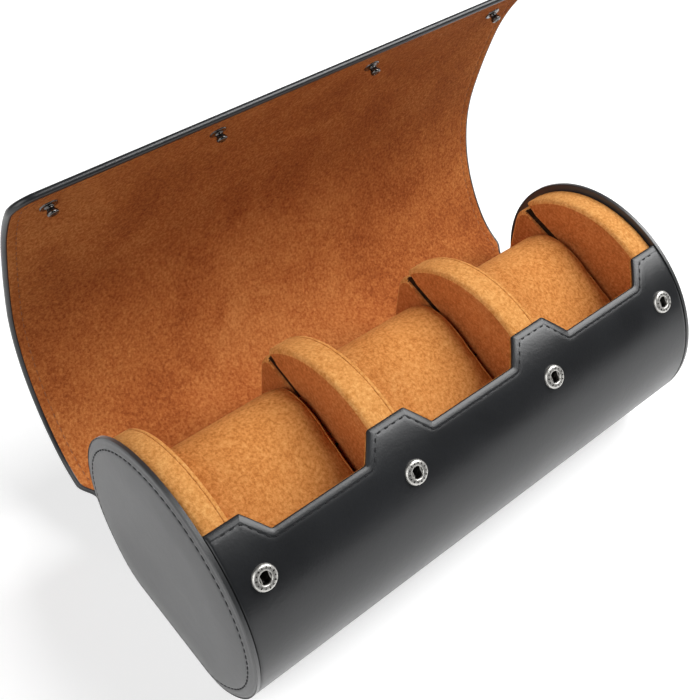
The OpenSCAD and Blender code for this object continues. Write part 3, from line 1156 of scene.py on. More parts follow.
@dataclass
class SlotLine:
    """The line that the cushions slide along, and the slots cut on it."""

    rise: float = 12.0
    through: Pair = (25.0, 62.0)
    width: float = 3.2
    depth: float = 4.2
    closed_y: float = -4.0
    open_y: float = 60.0
    flare: float = 0.35
    flares: tuple[Pair, ...] = ((-1.0, 1.0), (0.0, 1.0), (0.35, 0.45), (0.9, 0.1), (1.4, 0.0))

    def point(self, y: float, across_line: float = 0.0) -> Pair:
        """A point on the line or beside it.

        Args:
            y: Its distance behind the middle, before it is moved off the line.
            across_line: How far it is moved off the line.

        Returns:
            The point (y, z).
        """
        t = math.radians(self.rise)
        run = (y - self.through[0]) / math.cos(t)
        return (self.through[0] + run * math.cos(t) - across_line * math.sin(t),
                self.through[1] + run * math.sin(t) + across_line * math.cos(t))

    def paint_slot_shade(self, mesh: bpy.types.Mesh, face_x: float) -> None:
        """Gives a slot's walls the mesh's third finish, a near-black painted shade.

        Args:
            mesh: The carved divider.
            face_x: Place of the slotted face along the case.
        """
        t = math.radians(self.rise)
        for face in mesh.polygons:
            x, y, z = np.array(face.center) / MM
            deep = abs(x - face_x)
            run_y, run_z = y - self.through[0], z - self.through[1]
            off = abs(run_z * math.cos(t) - run_y * math.sin(t))
            if 0.6 < deep < self.depth + 0.1 and off < self.width / 2 + 0.25 and y > self.closed_y - 1.5:
                face.material_index = 2

    def cutter(self, face_x: float, inward: int) -> Piece:
        """A block that cuts one slot, wider at the divider's face.

        Args:
            face_x: Place of the divider's face along the case.
            inward: 1 where the slot goes towards +X, and -1 towards -X.

        Returns:
            The cutter.
        """
        rings = []
        for reach, share in (*self.flares, (self.depth, 0.0)):
            grow = self.flare * share
            half = self.width / 2 + grow
            corners = [self.point(self.closed_y - grow, -half), self.point(self.open_y, -half),
                       self.point(self.open_y, half), self.point(self.closed_y - grow, half)]
            rings.append(across(face_x + inward * reach, np.array(corners)))
        rings = np.array(rings)
        builder = Builder()
        builder.grid(rings, wrap_columns=True)
        builder.polygon(rings[0])
        builder.polygon(rings[-1])
        return builder.build("slot_cutter", Finish.SIDE_SUEDE_PAINTED_SHADE)


SLOT = SlotLine()


@dataclass
class Divider:
    """A round divider: foam wrapped in suede, with a facing disc on its right side."""

    name: str
    left: float
    right: float
    slot_left: bool
    slot_right: bool
    wall_t: float = 2.6
    rear_y: float = 39.5
    nose: float = 8.0
    edge: float = 1.3
    soft_edge: float = 2.3
    seam_edge: float = 0.4
    facing_t: float = 1.5
    lip_z: float = 66.2
    mouth: tuple[Pair, ...] = ((31.5, -0.9), (30.6, 0.0), (31.5, 0.9), (34.6, 1.5), (36.4, 1.9))
    # The third finish is the slots' near-black painted shade.
    finishes: tuple[Finish, ...] = (Finish.DIVIDER_SUEDE, Finish.SIDE_SUEDE_PAINTED_SHADE, Finish.SLOT_PAINTED_SHADE)

    def outline(self) -> Array:
        """The divider's outline, anticlockwise, with the notch of the slot's mouth.

        Returns:
            Evenly spaced points (y, z).
        """
        r = SECTION.radius - self.wall_t
        drop = SECTION.drop
        corner = SECTION.foot_radius - self.wall_t
        wall_angle = -math.degrees(math.acos(self.rear_y / r))
        nose_z = SLOT.point(self.rear_y)[1] - SLOT.width / 2 - self.nose
        lip = math.degrees(math.asin((self.lip_z - SECTION.axis_z) / r))
        points = arc((self.rear_y - self.nose, nose_z), self.nose, 0, 80, 12)
        points += [SLOT.point(y, off) for y, off in self.mouth]
        points += arc((0, SECTION.axis_z), r, lip + 1.0, 180 + drop, 150)
        points += arc((-SECTION.foot_y, SECTION.foot_radius), corner, 180 + drop, 270, 14)[1:]
        points += arc((SECTION.foot_y, SECTION.foot_radius), corner, 270, 360 - drop, 14)
        points += arc((0, SECTION.axis_z), r, -drop, wall_angle, 12)[1:]
        return resample(np.array(points), 0.9, True)

    def block(self, name: str, left: float, right: float, left_edge: float, right_edge: float,
              *finishes: Finish) -> Piece:
        """A disc of the divider's outline with rounded edges.

        Args:
            name: The piece's name.
            left: Its left face.
            right: Its right face.
            left_edge: Radius of its left edge.
            right_edge: Radius of its right edge.
            *finishes: Rim finish and side finish; the side finish is a darker copy of the suede with painted
                       shade.

        Returns:
            The piece, without slots.
        """
        loop = self.outline()
        profile = rounded(left, left_edge, -1, 5) + rounded(right, right_edge, 1, 5)[::-1]
        rings = np.stack([across(x, inset_loop(loop, inset)) for inset, x in profile])
        builder = Builder()
        builder.grid(rings[:2], wrap_columns=True, finish=1)
        builder.grid(rings[1:-1], wrap_columns=True)
        builder.grid(rings[-2:], wrap_columns=True, finish=1)
        builder.polygon(rings[0], flip=True, finish=1)
        builder.polygon(rings[-1], finish=1)
        return builder.build(name, *finishes, sharp_deg=CUT_SHARP_DEG)

    def make(self) -> None:
        """Makes the divider's cover and facing."""
        facing = self.slot_right
        title = f"{self.name}_divider"
        cover_right = self.right - (self.facing_t if facing else 0.0)
        cover = self.block(f"{title}_wrap", self.left, cover_right, self.soft_edge,
                           self.seam_edge if facing else self.edge, *self.finishes)
        cutters = [SLOT.cutter(self.left, 1)] if self.slot_left else []
        if facing:
            cutters.append(SLOT.cutter(self.right, -1))
        carve(cover, cutters)
        # The slots' walls get the near-black painted shade.
        if self.slot_left:
            SLOT.paint_slot_shade(cover.data, self.left)
        if facing:
            SLOT.paint_slot_shade(cover.data, self.right)
        settle(cover, "base", "divider_suede", f"{title}_core", f"{title}_cover")
        if facing:
            disc = self.block(f"{title}_disc", cover_right, self.right, self.seam_edge, self.edge * 0.8,
                              *self.finishes)
            carve(disc, cutters[-1:])
            SLOT.paint_slot_shade(disc.data, self.right)
            settle(disc, "base", "facing_suede", f"{title}_facing")
        for cutter in cutters:
            bpy.data.objects.remove(cutter)


def carve(piece: Piece, cutters: Sequence[Piece]) -> None:
    """Cuts shapes out of a piece and keeps its smooth shading.

    Args:
        piece: The piece.
        cutters: The shapes, which stay in the scene.
    """
    for cutter in cutters:
        modifier = piece.modifiers.new("cut", "BOOLEAN")
        modifier.operation = "DIFFERENCE"
        modifier.solver = "MANIFOLD"
        modifier.object = cutter
        apply_modifiers(piece)
    smooth(piece.data, CUT_SHARP_DEG)


def apply_modifiers(piece: Piece) -> None:
    """Turns a piece's modifiers into its mesh.

    Args:
        piece: The piece.
    """
    graph = bpy.context.evaluated_depsgraph_get()
    mesh = bpy.data.meshes.new_from_object(piece.evaluated_get(graph))
    piece.modifiers.clear()
    old = piece.data
    piece.data = mesh
    mesh.name = piece.name
    bpy.data.meshes.remove(old)


# ---------------------------------------------------------------- the cushions


@dataclass
class CushionSet:
    """Three foam cushions in suede covers, each on a spine board that slides in the slots."""

    length: float = 50.5
    width: float = 66.0
    thickness: float = 40.0
    tilt: float = 20.0
    middle: Pair = (-1.2, 42.25)
    edge: float = 2.6
    start_inset: float = 0.3
    puff: float = 0.6
    pressure: float = 4.0
    cloth_frames: int = 20
    voxel: float = 3.0
    welt_r: float = 0.32
    places: tuple[tuple[str, float], ...] = (("left", -63.35), ("middle", 0.0), ("right", 63.35))
    spine_t: float = 2.6
    spine_y: Pair = (-3.0, 17.0)
    spine_half: float = 30.05
    spine_edge: float = 0.6

    def outline(self, inset: float, step: float = 2.0) -> Array:
        """The cushion's rounded section, anticlockwise.

        Args:
            inset: How much smaller it is drawn.
            step: Distance between points.

        Returns:
            Points (y, z).
        """
        r = self.thickness / 2 - inset
        reach = (self.width - self.thickness) / 2
        flat = np.array(arc((reach, 0), r, -90, 90, 30) + arc((-reach, 0), r, 90, 270, 30))
        t = math.radians(self.tilt)
        turned = flat @ np.array([[math.cos(t), math.sin(t)], [-math.sin(t), math.cos(t)]])
        return resample(turned + self.middle, step, True)

    def blank(self) -> Piece:
        """Makes the cushion's starting shape, a little smaller than it ends.

        Returns:
            The shape.
        """
        builder = Builder()
        half = self.length / 2 - self.start_inset
        builder.bar(0.0, self.outline(0.0), rounded(half, self.edge, 1, 4, self.start_inset))
        return builder.build("cushion_blank", Finish.CUSHION_SUEDE)

    def stuffed(self) -> Piece:
        """Remeshes the blank and blows it up as cloth, with its movement held to the puff.

        Returns:
            The stuffed shape.
        """
        piece = self.blank()
        remesh = piece.modifiers.new("remesh", "REMESH")
        remesh.mode = "VOXEL"
        remesh.voxel_size = self.voxel * MM
        apply_modifiers(piece)
        start = np.array([v.co for v in piece.data.vertices])
        cloth = piece.modifiers.new("cloth", "CLOTH")
        cloth.settings.use_pressure = True
        cloth.settings.uniform_pressure_force = self.pressure
        cloth.settings.effector_weights.gravity = 0.0
        cloth.settings.quality = 5
        for number in range(1, self.cloth_frames + 1):
            bpy.context.scene.frame_set(number)
        apply_modifiers(piece)
        bpy.context.scene.frame_set(1)
        end = np.array([v.co for v in piece.data.vertices])
        move = end - start
        size = np.linalg.norm(move, axis=1)
        held = np.minimum(size, self.puff * MM) / np.maximum(size, NEAR)
        piece.data.vertices.foreach_set("co", (start + move * held[:, None]).ravel())
        subdivide = piece.modifiers.new("subdivide", "SUBSURF")
        subdivide.levels = subdivide.render_levels = 1
        apply_modifiers(piece)
        smooth(piece.data, 180.0)
        return piece

    def make(self) -> None:
        """Makes the three cushions with their seams and boards."""
        model = self.stuffed()
        tree = BVHTree.FromObject(model, bpy.context.evaluated_depsgraph_get())
        for number, (name, x) in enumerate(self.places):
            mesh = model.data.copy()
            if number == 1:
                mesh.transform(Matrix.Scale(-1, 4, (1, 0, 0)))
                mesh.flip_normals()
            mesh.transform(Matrix.Translation((x * MM, 0, 0)))
            mesh.materials.clear()
            mesh.materials.append(Finish.CUSHION_SUEDE.material())
            piece = bpy.data.objects.new(f"{name}_cushion", mesh)
            bpy.context.scene.collection.objects.link(piece)
            settle(piece, f"{name}_cushion", "cushion_suede", f"{name}_cushion_cover", f"{name}_cushion_core")
            self.seams(name, x, tree)
            self.spine(name, x)
        bpy.data.objects.remove(model)

    def seams(self, name: str, x: float, tree: BVHTree) -> None:
        """Makes the fine welts that join a cushion's band to its two end discs.

        Args:
            name: The cushion's name.
            x: Its place along the case.
            tree: The stuffed shape's surface, at the middle of the case.
        """
        builder = Builder()
        for side in (-1, 1):
            ring = across(side * (self.length / 2 - 1.3), self.outline(1.5, 1.2))
            centres, normals = [], []
            for point in ring:
                spot, normal, _, _ = tree.find_nearest(Vector(point * MM))
                centres.append(np.array(spot) / MM)
                normals.append(np.array(normal))
            centres, normals = np.array(centres), np.array(normals)
            for _ in range(4):
                centres = (np.roll(centres, 1, axis=0) + 2 * centres + np.roll(centres, -1, axis=0)) / 4
            tangent = np.roll(centres, -1, axis=0) - np.roll(centres, 1, axis=0)
            tangent /= np.linalg.norm(tangent, axis=1)[:, None]
            sideways = np.cross(tangent, normals)
            rings = np.stack([
                centres + (normals * math.cos(a) + sideways * math.sin(a)) * self.welt_r
                for a in full_turn(8)
            ])
            rings[..., 0] += x
            builder.grid(rings, wrap_rows=True, wrap_columns=True)
        piece = builder.build(f"{name}_cushion_welts", Finish.CUSHION_SUEDE, weld_mm=0.0005)
        settle(piece, f"{name}_cushion", "cushion_suede")

    def spine(self, name: str, x: float) -> None:
        """Makes the suede-wrapped board whose ends slide in the slots.

        Args:
            name: The cushion's name.
            x: Its place along the case.
        """
        half_t = self.spine_t / 2
        corners = []
        for y, first in ((self.spine_y[1], -90), (self.spine_y[0], 90)):
            inward = -half_t if y > 0 else half_t
            for point in arc((0, 0), half_t, first, first + 180, 8):
                corners.append(SLOT.point(y + inward + point[0], point[1]))
        builder = Builder()
        loop = resample(np.array(corners), 0.6, True)
        builder.bar(x, loop, rounded(self.spine_half, self.spine_edge, 1, 4))
        # The board takes the darker, painted-shade copy of the suede.
        piece = builder.build(f"{name}_cushion_board", Finish.SIDE_SUEDE_PAINTED_SHADE)
        settle(piece, f"{name}_cushion", "spine_board", f"{name}_cushion_spine")


# ---------------------------------------------------------------- the flap


@dataclass
class FlapPath:
    """The flap's middle line: a chain of arcs that starts at the hinge."""

    hinge_angle: float = -25.0
    hinge_r: float = 47.2
    start_heading: float = -6.5
    lengths: tuple[float, ...] = (28.0, 31.0, 31.0, 32.0, 32.0)
    radii: tuple[float, ...] = (29.0, 69.0, 75.0, 290.0, 85.0)
    thickness: float = 2.4
    hinge_t: float = 1.7
    wall_t: float = 2.6
    wall_angle: float = -31.5
    join: float = 4.0
    hinge_pull: float = 0.36
    hinge_fade: float = 1.5

    @property
    def total(self) -> float:
        """Length from the hinge to the free edge."""
        return sum(self.lengths)

    def starts(self) -> list[float]:
        """Run of each panel's start from the hinge."""
        return [sum(self.lengths[:k]) for k in range(len(self.lengths))]

    def at(self, run: float) -> tuple[Array, float]:
        """Middle line's point (y, z) and heading, at a run from the hinge.

        Args:
            run: Distance from the hinge along the flap.

        Returns:
            The point, and the heading in radians.
        """
        a = math.radians(self.hinge_angle)
        point = np.array([self.hinge_r * math.cos(a), SECTION.axis_z + self.hinge_r * math.sin(a)])
        heading = math.radians(self.start_heading)
        left = run
        for number, (length, radius) in enumerate(zip(self.lengths, self.radii)):
            step = left if number == len(self.lengths) - 1 else min(left, length)
            centre = point + radius * np.array([-math.sin(heading), math.cos(heading)])
            heading += step / radius
            point = centre + radius * np.array([math.sin(heading), -math.cos(heading)])
            left -= step
            if left <= 0:
                break
        return point, heading

    def wall_end(self) -> tuple[Array, float]:
        """Where the sheet leaves the body wall.

        Returns:
            Its middle point and heading.
        """
        a = math.radians(self.wall_angle)
        r = SECTION.radius - self.wall_t / 2
        return np.array([r * math.cos(a), SECTION.axis_z + r * math.sin(a)]), a + math.pi / 2

    def through_hinge(self, share: float) -> tuple[Array, float, float]:
        """The bend between the wall and the flap.

        Args:
            share: 0 at the wall and 1 where the flap's own curve starts.

        Returns:
            Middle point, heading and thickness.
        """
        p0, h0 = self.wall_end()
        p3, h3 = self.at(self.join)
        reach = np.linalg.norm(p3 - p0) * self.hinge_pull
        p1 = p0 + reach * np.array([math.cos(h0), math.sin(h0)])
        p2 = p3 - reach * np.array([math.cos(h3), math.sin(h3)])
        t, u = share, 1 - share
        point = u**3 * p0 + 3 * u * u * t * p1 + 3 * u * t * t * p2 + t**3 * p3
        slope = 3 * u * u * (p1 - p0) + 6 * u * t * (p2 - p1) + 3 * t * t * (p3 - p2)
        ends = self.wall_t * (1 - t) + self.thickness * t
        thin = self.hinge_t + (ends - self.hinge_t) * abs(2 * t - 1) ** self.hinge_fade
        return point, math.atan2(slope[1], slope[0]), thin

    def frame_at(self, run: float) -> tuple[Array, float, float]:
        """The sheet's middle line and thickness.

        Args:
            run: Distance from the hinge; below the join it goes through the hinge, down to -1 at the wall.

        Returns:
            Middle point, heading and thickness.
        """
        if run < self.join:
            return self.through_hinge((run + 1.0) / (self.join + 1.0))
        point, heading = self.at(run)
        return point, heading, self.thickness

    def place(self, run: float, level: Array) -> Array:
        """Points through the thickness.

        Args:
            run: Distance from the hinge.
            level: Levels through the thickness, from 0 outside to 1 inside.

        Returns:
            Points (y, z).
        """
        point, heading, thickness = self.frame_at(run)
        inward = np.array([-math.sin(heading), math.cos(heading)])
        return point + (np.asarray(level, float)[..., None] - 0.5) * thickness * inward


@dataclass
class FlapSheet:
    """One sheet of the flap, leather or suede, built in strips that each span a joint."""

    path: FlapPath
    half: float
    end_inset: float
    corner: float
    edge_steps: tuple[float, ...]
    outer_depth: Callable[[Array], Array]
    inner_depth: Callable[[Array], Array]
    full_half: float = 102.5
    root_half: float = 99.1
    root_run: float = 5.6
    root_widening: float = 7.5
    columns: int = 61

    def half_at(self, run: Array) -> Array:
        """Half width, which is narrow where the root passes between the end caps.

        Args:
            run: Distance from the hinge.

        Returns:
            The half width.
        """
        t = np.clip((np.asarray(run, float) - self.root_run) / self.root_widening, 0, 1)
        narrow = self.root_half - (self.full_half - self.half)
        return narrow + (self.half - narrow) * t * t * (3 - 2 * t)

    def solid(self, x: Array, run: Array, inset: Array) -> tuple[Array, Array]:
        """Outside and inside points of the sheet.

        Args:
            x: Places along the case.
            run: Runs from the hinge.
            inset: Distances from the nearest edge.

        Returns:
            The outside grid and the inside grid.
        """
        outside, inside = np.empty(x.shape + (3,)), np.empty(x.shape + (3,))
        depths = np.stack([self.outer_depth(inset), self.inner_depth(inset)], axis=-1)
        for index in np.ndindex(x.shape):
            level = np.clip(depths[index] / self.path.thickness, -0.2, 1.2)
            pair = self.path.place(float(run[index]), level)
            outside[index] = (x[index], *pair[0])
            inside[index] = (x[index], *pair[1])
        return outside, inside

    def strip(self, builder: Builder, runs: Sequence[float], last: bool) -> None:
        """Adds the sheet between two runs.

        Args:
            builder: The piece that it is added to.
            runs: Rows along the flap; on the last strip they stop where the corners begin.
            last: Whether this strip ends in the free edge with its two rounded corners.
        """
        rows = np.array(runs, float)
        steps = np.array(self.edge_steps)
        halves = self.half_at(rows)
        side_x = halves[:, None] - steps[None, :]
        side_runs = np.broadcast_to(rows[:, None], side_x.shape)
        inset = np.broadcast_to(steps[None, :], side_x.shape)
        ends = (0,) if last else (0, -1)
        for sign in (-1, 1):
            self._patch(builder, sign * side_x, side_runs, inset, sign > 0, ends, rim_column=True)
        columns = self._end_columns(steps[-1]) if last else self._shares()
        self._panel(builder, (halves - steps[-1])[:, None] * columns[None, :], rows, steps[-1:], ends)
        if last:
            end = self.path.total - self.end_inset
            for sign in (-1, 1):
                self._corner(builder, sign, end, steps)
            between = (self.half - self.corner) * self._shares()[None, :]
            self._panel(builder, between, end - steps, steps, (0,))
            low, high = end - self.corner, end - steps[-1]
            if high - low > 1e-6:
                self._panel(builder, between, np.array([low, high]), steps[-1:])

    def _shares(self) -> Array:
        """Places of the middle's columns, as shares of its half width."""
        return np.linspace(-1, 1, self.columns)

    def _panel(self, builder: Builder, x: Array, runs: Array, inset: Array,
               wall_rows: tuple[int, ...] = ()) -> None:
        """Adds a patch whose rows each lie at one run.

        Args:
            builder: The piece that it is added to.
            x: Places along the case, in one row or in one for each run.
            runs: The rows' runs from the hinge.
            inset: The rows' distances from the nearest edge, or one for all.
            wall_rows: Rows where a wall joins outside and inside.
        """
        shape = (len(runs), x.shape[1])
        self._patch(builder, np.broadcast_to(x, shape), np.broadcast_to(runs[:, None], shape),
                    np.broadcast_to(inset[:, None], shape), False, wall_rows)

    def _end_columns(self, inner: float) -> Array:
        """Columns that meet the corners and the free edge point for point.

        Args:
            inner: Where the edge's own columns end, from the side.

        Returns:
            Their places, as shares of the half width.
        """
        share = min(1.0, (self.half - self.corner) / (self.half - inner))
        columns = share * self._shares()
        return np.concatenate([[-1.0], columns, [1.0]]) if share < 1.0 else columns

    def _corner(self, builder: Builder, sign: int, end: float, steps: Array) -> None:
        """Adds one rounded corner as a fan of rings.

        Args:
            builder: The piece that it is added to.
            sign: -1 for the left corner, and 1 for the right one.
            end: The free edge's run.
            steps: Distances of the rings from the edge.
        """
        angles = np.linspace(0, math.pi / 2, 13)
        centre_x, centre_run = self.half - self.corner, end - self.corner
        radii = np.append(np.maximum(self.corner - steps, 0.0), 0.0)
        steps = np.append(steps, steps[-1])
        x = centre_x + radii[None, :] * np.cos(angles)[:, None]
        run = centre_run + radii[None, :] * np.sin(angles)[:, None]
        inset = np.broadcast_to(steps[None, :], x.shape)
        self._patch(builder, sign * x, run, inset, sign > 0, rim_column=True)

    def _patch(self, builder: Builder, x: Array, run: Array, inset: Array, flip: bool,
               wall_rows: tuple[int, ...] = (), rim_column: bool = False) -> None:
        """Adds one patch of the sheet, outside and inside.

        Args:
            builder: The piece that it is added to.
            x: Places along the case.
            run: Runs from the hinge.
            inset: Distances from the nearest edge.
            flip: Whether its faces turn the other way.
            wall_rows: Rows where a wall joins outside and inside.
            rim_column: Whether such a wall follows the first column, on the sheet's rim.
        """
        outside, inside = self.solid(x, run, inset)
        builder.grid(outside, flip=flip)
        builder.grid(inside, flip=not flip)
        for row in wall_rows:
            builder.grid(np.stack([outside[row], inside[row]]))
        if rim_column:
            builder.grid(np.stack([outside[:, 0], inside[:, 0]]))


@dataclass
class Flap:
    """The flap: leather outside, suede inside, stitched round its edge, in six strips."""

    path: FlapPath = field(default_factory=FlapPath)
    half: float = 102.5
    corner: float = 8.0
    suede_back: float = 1.2
    seam_in: float = 4.2
    seam_start: float = 9.5
    groove_width: float = 0.45
    groove_depth: float = 0.25
    skive: float = 0.42
    turned_in: float = 1.3
    suede_groove_width: float = 0.5
    suede_groove_depth: float = 0.18
    glue: float = 0.46
    nap: float = 0.06
    root_end: float = 10.0
    bend: float = 6.5

    def leather_sheet(self) -> FlapSheet:
        """The leather, turned over the edges of the board.

        Returns:
            The sheet.
        """
        t = self.path.thickness

        def outer(d: Array) -> Array:
            """Depth of its outside, with the sewn groove."""
            return roll(d, t) + groove(d, self.seam_in, self.groove_width, self.groove_depth)

        def inner(d: Array) -> Array:
            """Depth of its inside, thinner behind the turned edge."""
            return t - roll(d, t) - self.skive * np.clip((np.asarray(d) - self.turned_in) / 0.5, 0, 1)

        steps = (0.0, 0.03, 0.12, 0.3, 0.6, 0.9, 1.2, 1.5, 1.8, 2.6, 3.3, 3.7, 4.0, 4.2, 4.4, 4.7, 5.2, 6.0)
        return FlapSheet(self.path, self.half, 0.0, self.corner, steps, outer, inner)

    def suede_sheet(self) -> FlapSheet:
        """The suede lining, set back from the leather's edge.

        Returns:
            The sheet.
        """
        t, back = self.path.thickness, self.suede_back
        seam = self.seam_in - back

        def outer(d: Array) -> Array:
            """Depth of its glued side."""
            return np.full(np.shape(d), t - self.glue)

        def inner(d: Array) -> Array:
            """Depth of its face, with the sewn groove."""
            edge = roll(d, 0.9) * 0.55
            return t + self.nap - edge - groove(d, seam, self.suede_groove_width, self.suede_groove_depth)

        steps = (0.0, 0.04, 0.12, 0.25, 0.45, 0.8, 1.4, 2.0, 2.4, 2.7, 2.9, 3.0, 3.1, 3.3, 3.6, 4.2, 5.0)
        return FlapSheet(self.path, self.half - back, back, self.corner - back, steps, outer, inner)

    def strips(self) -> list[tuple[float, float]]:
        """The strips between cuts in the middle of each panel.

        Returns:
            Each strip's start and end.
        """
        middles = [start + length / 2 for start, length in zip(self.path.starts(), self.path.lengths)]
        cuts = [-1.0, *middles, self.path.total]
        return list(zip(cuts[:-1], cuts[1:]))

    def rows(self, start: float, end: float, corner: float) -> list[float]:
        """Rows of one strip, closer together in the hinge.

        Args:
            start: The strip's start.
            end: The strip's end.
            corner: How far from the free edge the corners begin.

        Returns:
            The rows' runs from the hinge.
        """
        if start < 0:
            return stations((start, self.path.join, 14), (self.path.join, self.root_end, 10),
                            (self.root_end, end, 3))
        if end >= self.path.total:
            return stations((start, self.path.total - corner, 6))
        return stations((start, end, 22))

    def fasten(self, piece: Piece, number: int, nodes: Sequence[str]) -> None:
        """Rides the last strip on its panel, bakes the other strips' places into their meshes, and hides the
        nodes that they replace.

        Args:
            piece: The strip.
            number: Its number, from 0 at the hinge.
            nodes: The CAD nodes that it replaces.
        """
        if number == len(self.path.lengths):
            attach(piece, f"flap_panel_{number}")
        elif number == 0:
            start, _ = self.path.wall_end()
            end, _ = self.path.at(self.path.join + 1.5)
            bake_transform(piece)
        else:
            joint = self.path.starts()[number]
            start, _ = self.path.at(joint - self.bend)
            end, _ = self.path.at(joint + self.bend)
            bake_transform(piece)
        if nodes:
            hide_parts(*nodes)
        LOG.info("%s is fastened", piece.name)

    @staticmethod
    def _point(point: Array) -> tuple[float, float, float]:
        """A (y, z) point in metres in the middle of the case."""
        return (0.0, float(point[0]) * MM, float(point[1]) * MM)

    def seam_lines(self, start: float, end: float, last: bool, level: float) -> list[tuple[Array, Array]]:
        """The sewn line's stretches inside one strip.

        Args:
            start: The strip's start.
            end: The strip's end.
            last: Whether the strip holds the free edge.
            level: 0 on the outside and 1 on the inside.

        Returns:
            Pairs of points and outward directions.
        """
        sheet, inset = self.leather_sheet(), self.seam_in
        stop = self.path.total - self.corner if last else end
        runs = np.arange(max(start, self.seam_start), stop + 0.01, 1.0)
        if not last:
            runs = np.append(runs[runs < end - 0.3], end)
        flat: list[list[Pair]] = []
        if last:
            r = self.corner - inset
            cx, cr = self.half - self.corner, self.path.total - self.corner
            left = [(-(self.half - inset), float(s)) for s in runs]
            left += [(-cx - r * math.cos(a), cr + r * math.sin(a)) for a in np.linspace(0.1, math.pi / 2, 8)]
            top = [(float(x), self.path.total - inset) for x in np.arange(-cx + 1.0, cx, 1.0)]
            right = [(-x, s) for x, s in reversed(left)]
            flat.append(left + top + right)
        else:
            for sign in (-1, 1):
                flat.append([(sign * float(sheet.half_at(s) - inset), float(s)) for s in runs])
        lines = []
        for stretch in flat:
            points, normals = [], []
            for x, s in stretch:
                here, away = self.path.place(s, np.array([level, level + (1.0 if level > 0.5 else -1.0)]))
                points.append((x, *here))
                normals.append((0.0, *(away - here)))
            lines.append((np.array(points), np.array(normals)))
        return lines

    def make(self) -> None:
        """Makes every strip of leather and suede, and its stitches."""
        leather, suede = self.leather_sheet(), self.suede_sheet()
        coarse, fine = Seam(radius=0.24, sink=0.10), Seam(radius=0.2, sink=0.14)
        for number, (start, end) in enumerate(self.strips()):
            last = number == len(self.path.lengths)
            rows = self.rows(start, end, self.corner)
            outside, inside = Builder(), Builder()
            for builder, sheet, seam, level in ((outside, leather, coarse, 0.0), (inside, suede, fine, 1.0)):
                sheet.strip(builder, rows, last)
                for line, normals in self.seam_lines(start, end, last, level):
                    if len(line) > 1:
                        seam.sew(builder, line, normals, finish=1)
            shell = outside.build(f"flap_leather_strip_{number}", Finish.FLAP_LEATHER, Finish.BLACK_THREAD)
            # The lining takes the darker, painted-shade copy of the suede.
            lining = inside.build(f"flap_suede_strip_{number}", Finish.FLAP_SUEDE_PAINTED_SHADE, Finish.TAN_THREAD)
            nodes = [f"flap_leather_{number}", f"flap_board_{number}"] if number else []
            self.fasten(shell, number, nodes)
            self.fasten(lining, number, [f"flap_lining_{number}"] if number else [])


# ---------------------------------------------------------------- the snaps


